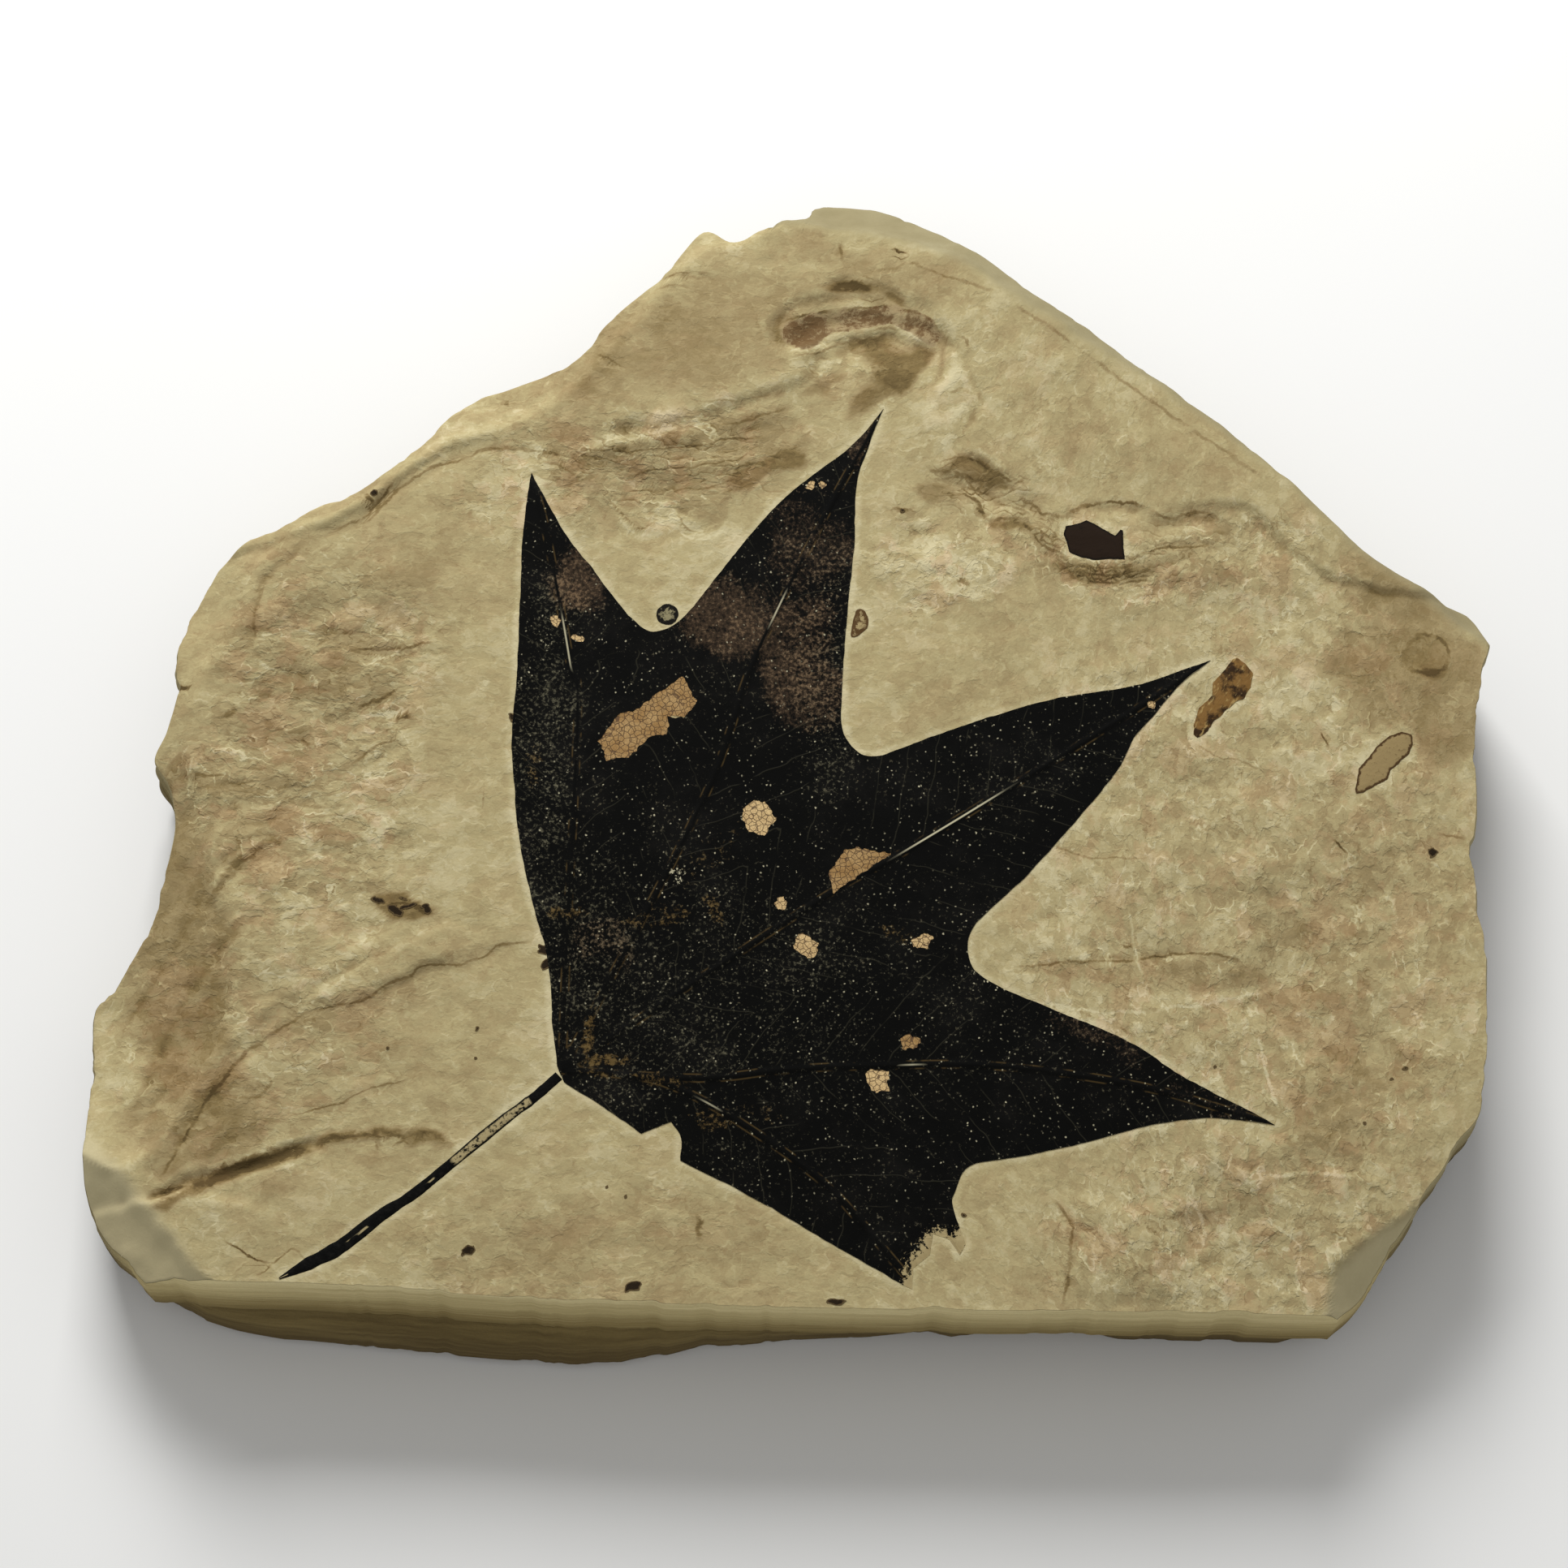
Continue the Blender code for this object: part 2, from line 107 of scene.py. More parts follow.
# Ledges: an edge with the higher ground on its left, its height, and how wide its step is
LEDGES = [
    ([(-175, 62), (-134, 62), (-118, 66), (-104, 72), (-88, 86), (-72, 91), (-52, 92), (-30, 96),
      (-12, 102), (2, 106), (10, 112), (8, 117), (-2, 121), (2, 129), (20, 132), (34, 130), (41, 121),
      (45, 111), (49, 100), (42, 89), (37, 85), (46, 87), (57, 80), (68, 72), (80, 75), (92, 72), (113, 72),
      (126, 62), (146, 50), (185, 50)], 1.2, 3),
    ([(-100, -150), (-96, -131), (-100, -116), (-122, -104), (-140, -101), (-175, -104)], 1.2, 3),
]

# Hollows, and ridges where the depth is less than zero: a closed edge walked anticlockwise, the depth, and
# how wide the edge's slope is
HOLLOWS = [
    ([(-90, -40), (-86, -20), (-90, 5), (-84, 30), (-88, 46), (-100, 53), (-118, 52), (-128, 40),
      (-134, 20), (-138, 0), (-130, -15), (-122, -30), (-106, -44)], 1.3, 9),
    ([(-148, -105), (-128, -99), (-108, -93), (-110, -88), (-130, -94), (-150, -101)], 1.3, 3),
    ([(-60, 92), (-62, 78), (-48, 68), (-30, 66), (-12, 74), (4, 88), (10, 104), (-12, 100), (-30, 95)],
     1.2, 8),
    ([(8, 104), (24, 101), (38, 104), (44, 117), (38, 127), (20, 130), (2, 126), (2, 118), (12, 115)], 1.6,
     4),
    ([(34, 82), (44, 76), (52, 70), (66, 66), (72, 71), (62, 79), (52, 84), (40, 86)], 1.9, 7),
    ([(68, 59), (74, 54), (86, 53), (100, 58), (104, 63), (90, 61.5), (78, 60)], 1.0, 3),
    ([(112, -18), (110, -58), (118, -98), (146, -96), (156, -60), (150, -20), (130, -12)], 1.0, 12),
    ([(96, -98), (92, -118), (112, -124), (122, -110), (114, -98)], 0.9, 5),
    ([(38, 88), (47, 92), (51, 101), (47, 112), (41, 121), (37, 108), (35, 96)], -0.9, 4),
    ([(30, 56), (46, 50), (60, 56), (58, 66), (44, 70), (32, 66)], -0.6, 7),
    ([(64, -104), (66, -128), (92, -127), (84, -106)], -0.7, 5),
    ([(-114, -59), (-100, -54.5), (-90, -49.5), (-78, -46), (-66, -41), (-80, -35), (-98, -42),
      (-110, -51)], -0.8, 3),
]

# Two edges that are scarps and dark lines
STEM_SIDE_EDGE = [(-112, -58), (-107, -56), (-100, -54.5), (-95, -51), (-90, -49.5), (-86, -46), (-78, -46),
                  (-72, -44), (-68, -41), (-60, -40.5)]
FOOT_EDGE = [(-117, -83.3), (-110, -81), (-105, -80), (-100, -77), (-95, -75.5), (-88, -74)]

# Short scarps: an edge, the lift on its left, the drop on its right, and how far each takes to die away
SCARPS = [
    ([(40, 78), (44, 77.5), (47, 76.5), (49, 73), (51, 70.5), (55, 70.5), (60, 70.8), (63, 67), (66, 63),
      (70, 60.5), (74, 57)], 0.2, 0.25, 7),
    ([(60, 77.5), (63, 75), (66, 72), (69, 71.5), (73, 73), (78, 74.8), (83, 75), (88, 74), (92, 72)], 0.2,
     0.7, 7),
    ([(9, 133.6), (14, 136.2), (18, 136.3), (24, 134.4)], 0.2, 1.3, 5),
    ([(0, 125.5), (5, 127), (8, 128), (14, 128.8), (20, 129.8), (26, 130.3), (30, 130), (36, 127.5)], 0.1,
     0.4, 4),
    ([(2, 115), (8, 116.5), (13, 119), (17, 121.8), (22, 122.3), (27, 123.8), (31, 122), (35, 119.8),
      (40, 118)], 0.4, 0.9, 11),
    ([(-140, -31), (-136, -26), (-131, -19), (-125, -15), (-118, -12.6)], 0.2, 0.5, 6),
    ([(90, 73), (97, 70.5), (102, 72), (112, 71)], 0.2, 0.8, 7), (STEM_SIDE_EDGE, 0.3, 0.1, 7),
    (FOOT_EDGE, 0.15, 0.05, 6), ([(-105, 19), (-98, 20), (-91, 21), (-92, 18)], 0.2, 0.4, 4),
    ([(-106, 5), (-98, 9), (-93, 12)], 0.2, 0.4, 4),
    ([(-118, 41), (-108, 42), (-100, 41), (-95, 36), (-86, 37)], 0.2, 0.4, 5),
    ([(-130, 37), (-125, 32), (-118, 30), (-110, 31)], 0.2, 0.3, 5),
    ([(-100, 30), (-95, 26), (-97, 22), (-105, 19)], 0.2, 0.4, 4),
    ([(-58, 90), (-45, 88), (-30, 91), (-15, 95), (0, 97)], 0.1, 0.2, 7),
    ([(-56, 84), (-40, 80), (-20, 83), (-4, 88)], 0.1, 0.15, 6),
    ([(-46, 76), (-42, 70), (-34, 67), (-24, 68), (-16, 72)], 0.1, 0.35, 5),
    ([(68, 58), (76, 55), (86, 55), (96, 59)], 0.1, 0.4, 3),
    ([(86, 63.5), (95, 64), (104, 64.5), (112, 62)], 0.1, 0.5, 5),
    ([(94, -84), (97, -92), (103, -97), (110, -101)], 0.3, 0.1, 5),
    ([(52, 100), (62, 104), (72, 112)], 0.2, 0.1, 8),
]

# Folds: a line, how far its ridge stands up or its furrow goes down, and half its width
FOLDS = [
    ([(-147, -101), (-139, -84), (-129, -70), (-114, -58)], -0.3, 2.2),
    ([(-150, -97), (-143, -82), (-133, -66), (-120, -54), (-104, -44), (-90, -36)], 0.5, 3),
    ([(-156, -88), (-150, -70), (-143, -54), (-134, -40), (-122, -30)], -0.4, 3),
    ([(-160, -60), (-150, -46), (-143, -34), (-138, -22), (-128, -14), (-119, -12)], -0.25, 2),
    ([(-152, -80), (-146, -64), (-138, -48), (-128, -36)], 0.35, 3),
    ([(-131, 36), (-131, 45), (-128, 55), (-118, 64)], -0.4, 1.8),
    ([(-152, 6), (-145, 2), (-137, 0), (-125, 2)], -0.35, 1.4),
    ([(-116, 65), (-104, 70), (-98, 78), (-92, 81), (-84, 87), (-74, 90), (-62, 90)], -0.25, 1.8),
    ([(-106, 70), (-102, 74), (-98, 81)], -0.4, 1.4),
    ([(-48, 118), (-44, 114), (-40, 112)], -0.4, 1.2),
    ([(-35, 137), (-28, 138.5), (-20, 137), (-16, 138)], -0.35, 1.2),
    ([(-33, 134), (-28, 135), (-24, 134.5)], -0.3, 1),
    ([(8, 134), (14, 136), (20, 135.5), (26, 133.5), (33, 129)], -0.7, 2.2),
    ([(1, 118), (7, 119), (13, 122), (20, 123), (28, 124), (34, 121), (39, 120)], 0.5, 1.6),
    ([(14, 151), (14.5, 146), (15, 142)], -0.4, 1.1),
    ([(35, 79), (42, 79), (48, 76), (50, 71), (56, 70), (62, 67), (68, 60), (74, 55)], -0.2, 1.8),
    ([(29, 73), (33, 71), (38, 72)], -0.4, 1.2),
    ([(43, 121), (46, 120), (47.5, 117)], -0.3, 1),
    ([(42, 105), (45, 106), (47, 104)], -0.3, 1),
    ([(40, 85), (45, 91), (48, 95), (49, 101), (46, 110), (42, 119)], 0.4, 1.5),
    ([(62, -103), (65, -107), (69, -110), (76, -113)], -0.4, 1.2),
    ([(69, -110), (67, -118), (65, -128)], -0.35, 1.6),
    ([(54, -47), (60, -46.5), (70, -45), (85, -44), (95, -43), (106, -44)], -0.3, 1.3),
    ([(56, -48.5), (65, -54), (80, -57), (100, -55), (117, -53)], 0.2, 1.5),
    ([(-148, -104), (-138, -100), (-128, -96), (-116, -92), (-109, -90)], -0.15, 2),
    ([(-110, -90), (-100, -88), (-90, -87), (-80, -88)], 0.2, 1.6),
    ([(-70, 16), (-80, 12), (-92, 14)], -0.12, 2),
    ([(108, -100), (120, -97), (134, -98), (146, -104)], 0.3, 1.6),
    ([(118, -86), (130, -84), (142, -88)], 0.2, 1.4),
]

# Layers of the sides: share of the way down, how far the layer there stands out past the top edge, and the
# share of the front's foot that it takes
STRATA = [(0.0, 0.0, 0), (0.03, 0.5, 0), (0.2, 0.9, 0), (0.4, 0.9, 0.05), (0.62, 1.3, 0.1),
          (0.66, -0.8, 0.3), (0.72, 0.2, 0.7), (0.9, 0.5, 1), (1, -0.2, 1)]
RING_SHARES = (0.006, 0.018, 0.05, 0.1, 0.16, 0.22, 0.28, 0.34, 0.4, 0.46, 0.52, 0.57, 0.62, 0.66, 0.69,
               0.73, 0.79, 0.85, 0.91, 0.96, 1)
FRONT_FOOT = [(-150, -3), (-142, 1.4), (-138, 2.7), (-130, 4.7), (-120, 6.4), (-90, 7.9), (-50, 8.4),
              (-40, 7.9), (-30, 5.7), (-20, 2.8), (-10, 2.3), (0, 0.9), (10, 0.2), (20, -0.3), (30, -1.5),
              (40, -0.6), (55, -3), (70, -2.9), (80, -0.6), (90, -0.3), (118, -0.2), (128, -3.2)]
FRONT_DEPTH = 14.0

# The beds that the sides' noise makes: their length, thickness and reach, and how far they all stand back.
# Then the sides' swell, and how many rim points either way tell which way is outward.
BED_LENGTH, BED_THICKNESS, BED_REACH, BED_INSET, SIDE_SWELL, RIM_LOOK = 16, 1.7, 0.35, 0.25, 0.7, 9

# Chips out of the top's edge: the step between points, the chips' size and the stretch free of them
CHIP_STEP, CHIP_SIZE, CHIP_FREE_END = 0.4, 7, 8

# The low swell: its height, and the lengths along x and y of its two sine waves
SWELL_RISE, SWELL_WAVES = 0.45, [(17, -29), (41, 13)]
# Roll-offs: how far noise pushes their crest lines, and over how many millimetres the fall sets in
CREST_WOBBLE, FALL_START = 0.8, 5
# Scarps: the width of the lift's slope, and of the drop's for each millimetre that it drops
LIFT_WIDTH, DROP_WIDTH = 1.8, 2.2
# How far from the films the broad and the fine relief start, and the width in which they come in
BROAD_START, FINE_START = (5, 22), (1, 4)
# Heights of the fine relief: flaked treads, roughness and the slanting fibres on the left, with the fibres'
# turn in degrees. The least share of flaking anywhere, and the longest distance to a film that counts.
TREAD_RISE, ROUGH_RISE, FIBRE_RISE, FIBRE_TURN = 0.28, 0.16, 0.3, -62
LEAST_FLAKY, FAR_FROM_FILM = 0.15, 9

# Lines on the stone: how long their ends taper, at most as a share of the line, how far off they are looked
# for and their darkness ends, and the distance that stands for none being near
LINE_END, LONGEST_TAPER, LINE_REACH, INK_REACH, NO_LINE = 5, 0.3, 4, 2.8, 9.0

# The leaf blade, clockwise from the tip of the left lobe: each run of points goes from the sharp corner that
# ends the run before it to a sharp corner of its own
LEAF_RUNS = [
    [(-59.5, 75.5), (-54, 65.5), (-48, 57.5), (-42, 49), (-37.5, 43.5), (-33, 40), (-28, 41.3), (-23, 46),
     (-15, 57), (-8, 66.5), (0, 76), (8, 83), (15.5, 89), (21, 95), (25, 100.7)],
    [(21.3, 90.5), (18.2, 80), (17.4, 63), (15.5, 43.5), (14.3, 26), (14.3, 14.5), (18, 8.2), (23, 7.3),
     (30, 9.8), (45, 15.5), (65, 21.9), (85, 25.3), (96, 29), (105, 32.4)],
    [(97.5, 26.3), (91, 18.5), (85.5, 12), (82, 5), (75, -4.3), (66, -15), (57, -25), (48, -33.5),
     (44.2, -39), (45, -46.5), (52, -51.7), (65, -57.5), (82, -65.2), (95, -74), (115.6, -85.2)],
    [(106, -84.1), (97.5, -83.8), (85, -85.7), (70, -89.8), (54, -93.2), (43.5, -95.2), (40.2, -101),
     (39.4, -105), (42.2, -114)],
    [(40.8, -116.5)], [(38.5, -113)], [(34.6, -111.4)], [(34, -116.4)], [(30, -119.6)], [(29.6, -124.6)],
    [(20, -119), (8, -112), (0, -107), (-12, -100.3), (-24.4, -94)], [(-24.2, -88.5), (-26.5, -84.6)],
    [(-33.5, -87.5)], [(-44, -80), (-52, -75)], [(-53.6, -71)],
    [(-55, -60), (-56.4, -45), (-60.5, -30), (-64, -14), (-66, 4), (-66.5, 14), (-65.6, 30), (-65.3, 52),
     (-65.1, 66), (-63.4, 83)],
]
LEAF_WINDOWS = [
    [(-25, 28), (-21.5, 21.5), (-24, 17.3), (-28.3, 17.6), (-28.5, 13), (-33, 12), (-38, 6.8), (-43.2, 6.2),
     (-45.3, 11), (-40.7, 18), (-35.6, 19.6), (-31, 23.8)],
    [(-7.5, -4.3), (-4.7, -4.6), (-1.6, -9), (-5, -13), (-8.6, -12.5), (-10, -9), (-9.8, -6)],
    [(14.5, -17), (18, -16.3), (26, -17.8), (19, -22.7), (12, -28), (10.5, -23)],
    [(4.5, -38), (8.2, -40.3), (7.5, -44.2), (5.5, -44.6), (2.4, -41.8), (2.8, -39.2)],
    [(30, -39.6), (33.5, -37.7), (35.8, -39.3), (34, -42), (31, -41.3)],
    [(27.3, -64), (30, -63.2), (32.7, -64.3), (31.5, -66.5), (28, -66.8)],
    [(19.3, -73), (20.5, -71.8), (24.7, -72.3), (24.6, -77), (20.5, -77.2)],
    [(-53, 38.6), (-51.5, 39.7), (-49, 38.4), (-49.4, 37.4), (-52, 37.6)],
    [(-1.5, -29), (0, -28.5), (0.5, -30), (0.3, -32), (-1.5, -32.3), (-2.3, -31)],
    [(-57.6, 44.2), (-56, 44.6), (-55.2, 43), (-56.2, 41.4), (-57.5, 42)],
    [(5.6, 79.2), (6.2, 80.6), (7.6, 80.5), (7.8, 79.2), (6.7, 78.7)],
    [(8.6, 79), (8.6, 80.4), (9.8, 80.9), (10.6, 79.9), (9.8, 78.8)],
    [(89.2, 20), (90.8, 19.9), (90.9, 21.6), (89.3, 21.9)],
]
BROWN_WINDOWS = (0, 2, 5)

# Main veins, each from the stem's junction to its lobe's tip
JUNCTION = (-52.5, -72)
VEINS = [
    [JUNCTION, (-52, -40), (-50.5, 20), (-52.5, 31), (-55, 45), (-60, 70), (-63, 80)],
    [JUNCTION, (-20, -5), (-9, 28), (-2, 45), (12, 75), (23.5, 97)],
    [JUNCTION, (8, -30), (27, -18.7), (54, -1.5), (84, 18), (103, 31)],
    [JUNCTION, (-20, -74), (0, -72), (20, -71), (50, -71), (84, -76), (113, -84.6)],
    [JUNCTION, (-35, -73.5), (-25, -76.5), (-10, -85), (10, -100), (28, -121)],
]
VEIN_HALF_WIDTH = 1.3

# The torn lobe end, and how far from it the film is thinned
TORN_EDGE, TORN_REACH = [(43, -112), (40, -115), (36, -113), (32, -118), (30, -124)], 7

# Soft patches on the leaf, in the form of GROUND
LEAF_GROUND = {
    "brown": ((12, 5, 230), [
        (-14, 44, 14, 14, -40, 1), (2, 36, 14, 22, 0, 0.9), (8, 64, 12, 18, -10, 0.6),
        (6, 22, 12, 14, 0, 0.8), (-50, 52, 7, 12, 30, 1), (18, 90, 4, 8, -10, 0.8),
        (-43, -40, 12, 5, 10, 0.5), (74, -64, 16, 4, -22, 0.5), (96, -76, 16, 5, -20, 0.35)]),
    "dust": ((12, 5, 240), [
        (-58, 10, 12, 60, 0, 1), (-50, -40, 22, 30, 0, 1), (-20, -50, 60, 40, 0, 0.7),
        (-20, -85, 36, 16, -20, 0.45), (10, 30, 14, 40, 0, 0.8), (20, -60, 60, 30, 0, 0.3),
        (60, 0, 30, 12, 30, 0.3)]),
    "pale": (NO_NOISE, [
        (40.5, -10, 18, 3, 33, 1), (29.5, -72, 3.2, 2, 0, 1), (-53.4, 37.5, 2, 9, 8, 0.8),
        (-1.5, 45.5, 2, 5, -20, 0.8), (-18, -80.5, 3, 2, -25, 0.6)]),
    "chalk": (NO_NOISE, [
        (-26.6, -23.7, 4.5, 3.5, 0, 0.75), (-20, -34, 5, 3, 30, 0.45), (1, -22, 5, 3, 0, 0.4),
        (-58, 38, 4, 4, 0, 0.5), (31, -41, 5, 3, 0, 0.5)]),
    "gilt": ((4, 1, 246), [
        (-46, -63, 2.5, 8, -10, 0.9), (-42, -69.5, 9, 2.5, 5, 0.9), (-44, -73, 6, 2, -10, 0.7),
        (-30, -74, 10, 2.5, -8, 0.6), (-52, -33, 8, 3, 0, 0.7), (-30, -34, 14, 4, 10, 0.6),
        (-17, -32, 3, 6, 20, 0.6), (27, -38, 8, 4, -30, 0.5), (-18, -84, 9, 4, -20, 0.6),
        (-61, 5, 4, 9, 0, 0.6), (-5, -82, 12, 3, -20, 0.4), (-20, -20, 20, 6, 40, 0.4)]),
}

# The stem: middle line with the width there
STEM_LINE = [(-53.2, -73.4, 2.2), (-59, -78.7, 2.6), (-66.1, -84.3, 2.6), (-80, -96.4, 2.4),
             (-86.9, -102.2, 2.4), (-93.9, -107, 2.9), (-103, -114.4, 3.4), (-110, -118.3, 3),
             (-117, -122, 0.5)]

# The smaller fossils, anticlockwise
LEAF_SCRAP = [(69.8, 66), (70.4, 64), (71, 61.5), (73.5, 60), (77, 59.3), (84.6, 59.4), (84.6, 63),
              (84.4, 67.2), (83.8, 67.4), (82.5, 65.8), (79.5, 67.5), (77.5, 69), (75.5, 70.2), (73, 69),
              (70.2, 68.2)]
SEED_HUSK = [(100.9, 11.9), (103.7, 13.8), (105.2, 16.3), (108.6, 19.5), (110.7, 21.3), (112.9, 22.3),
             (114.4, 25.3), (115.3, 29), (113.3, 31.6), (111.5, 33), (110.5, 32.6), (108.6, 30.3),
             (105.4, 26.3), (105, 23.3), (103.6, 21.6), (101.6, 19.8), (100.1, 15.3), (100, 12.8)]
WINGED_SEED = [(139.1, -2.4), (141, -2), (144.7, 0), (146.8, 1.2), (147.5, 3.5), (149.6, 5.4), (152.5, 7.9),
               (153.5, 10.4), (153.2, 12.8), (151, 13.5), (147.7, 12.4), (144.3, 9.4), (142.5, 6.7),
               (139.9, 4), (138.7, -1.2)]
HUSK_FLAKE = [(16.6, 38.4), (20.6, 41), (20.2, 45.4), (18, 45.8), (17, 42)]
ROUND_SEED_MIDDLE, ROUND_SEED_RADIUS = (-28.8, 44.6), 2.7

# Specks of carbon on the stone: place, half sizes and turn in degrees
SPECKS = [(156.5, -17.5, 1.0, 1.2, 0), (-73.5, -115.3, 1.8, 1.0, 20), (-35, -124, 2.0, 1.2, 10),
          (-57.5, -42, 1.3, 1.6, 70), (-56.5, -46, 1.2, 1.5, 100), (-66.6, 17.5, 0.9, 1.4, 0),
          (-97.8, -29.2, 1.9, 0.6, -12), (-93.4, -32.2, 2.1, 1.3, -30), (-90.2, -31.4, 2.4, 0.6, 15),
          (-85.8, -32.2, 1.0, 1.6, 20), (-91.5, -29.4, 1.2, 0.4, -20), (-102.5, 77, 0.8, 0.8, 0),
          (-73, -61.8, 0.5, 0.5, 0), (-73, -69, 0.4, 0.4, 0), (-94, -66.5, 0.4, 0.4, 0),
          (42, -107, 0.6, 0.5, 0), (-37, -102.5, 0.5, 0.5, 0), (-41.5, -100.3, 0.5, 0.4, 0),
          (147, -71.5, 0.6, 0.5, 0), (143.5, -74, 0.5, 0.5, 0), (136.5, -85, 0.5, 0.4, 0),
          (102, -71, 0.4, 0.4, 0), (29.5, 72.5, 0.6, 0.6, 0), (12, -127.5, 2.4, 0.7, 0)]

# Noise: corners of its mesh each way, the turn in degrees from one layer to the next, what brings a sum of
# layers to about -1 to 1, and the share of a flake's tread that its riser takes
NOISE_MESH, LAYER_TURN, LAYERS_REACH, RISER = 64, 37, 1.6, 0.4

# Soft patches on the stone, by mask: the size, reach and seed of the noise that makes them ragged, then
# each patch's place, half sizes, turn in degrees and strength. "dull" is for wide duller stone, and
# "laminated" for layers that lie at a slant and come out as thin wavy lines.
GROUND = {}
GROUND["flaky"] = (22, 9, 80), [
    (-115, 10, 42, 70, -8, 1), (-125, -60, 45, 50, 0, 0.7), (-40, 86, 55, 24, 10, 1),
    (-70, 108, 60, 26, 28, 0.25), (110, -30, 75, 100, 0, 0.75), (125, -60, 44, 62, 0, 0.9),
    (110, -110, 70, 26, 0, 1), (44, 60, 26, 22, 0, 1), (95, 60, 50, 16, 0, 1), (130, 30, 50, 40, -40, 0.7),
    (20, 112, 34, 16, -10, 0.5), (60, 100, 40, 30, -30, 0.3), (-60, -112, 60, 16, 0, 0.4),
]
GROUND["stain"] = (12, 5, 60), [
    (-108, 0, 30, 50, -10, 0.45), (-110, -95, 34, 7, 22, 0.4), (15, 104, 14, 10, 30, 0.5),
    (-108, 36, 16, 9, 0, 0.8), (130, -60, 20, 44, 0, 0.5), (84, -116, 20, 12, 0, 0.35),
    (84, -49, 30, 6, 0, 0.6), (100, 57, 22, 6, 0, 0.6), (-28, 85, 38, 13, 4, 0.7),
    (-125, -84, 12, 11, 0, 0.7), (-60, 108, 60, 14, 28, 0.4), (-90, -52, 26, 4, 25, 0.5),
    (158.5, 34, 8, 8, 0, 0.6), (-92, -31.5, 12, 4, -10, 0.7),
]
GROUND["dull"] = (30, 10, 62), [
    (-150, -42, 20, 66, 8, 1.5), (-130, 20, 34, 50, 0, 0.5), (-90, -65, 48, 24, 20, 0.25),
    (-30, -114, 100, 20, 0, 0.45), (135, -45, 40, 74, 0, 0.3), (152, 30, 32, 24, -40, 1.4),
    (-25, 115, 60, 26, 15, 0.95), (-110, 62, 34, 22, 30, 0.6), (80, 66, 50, 14, -10, 0.2),
    (28, 141, 34, 9, -8, 0.8), (95, 88, 34, 18, -40, 0.4),
]
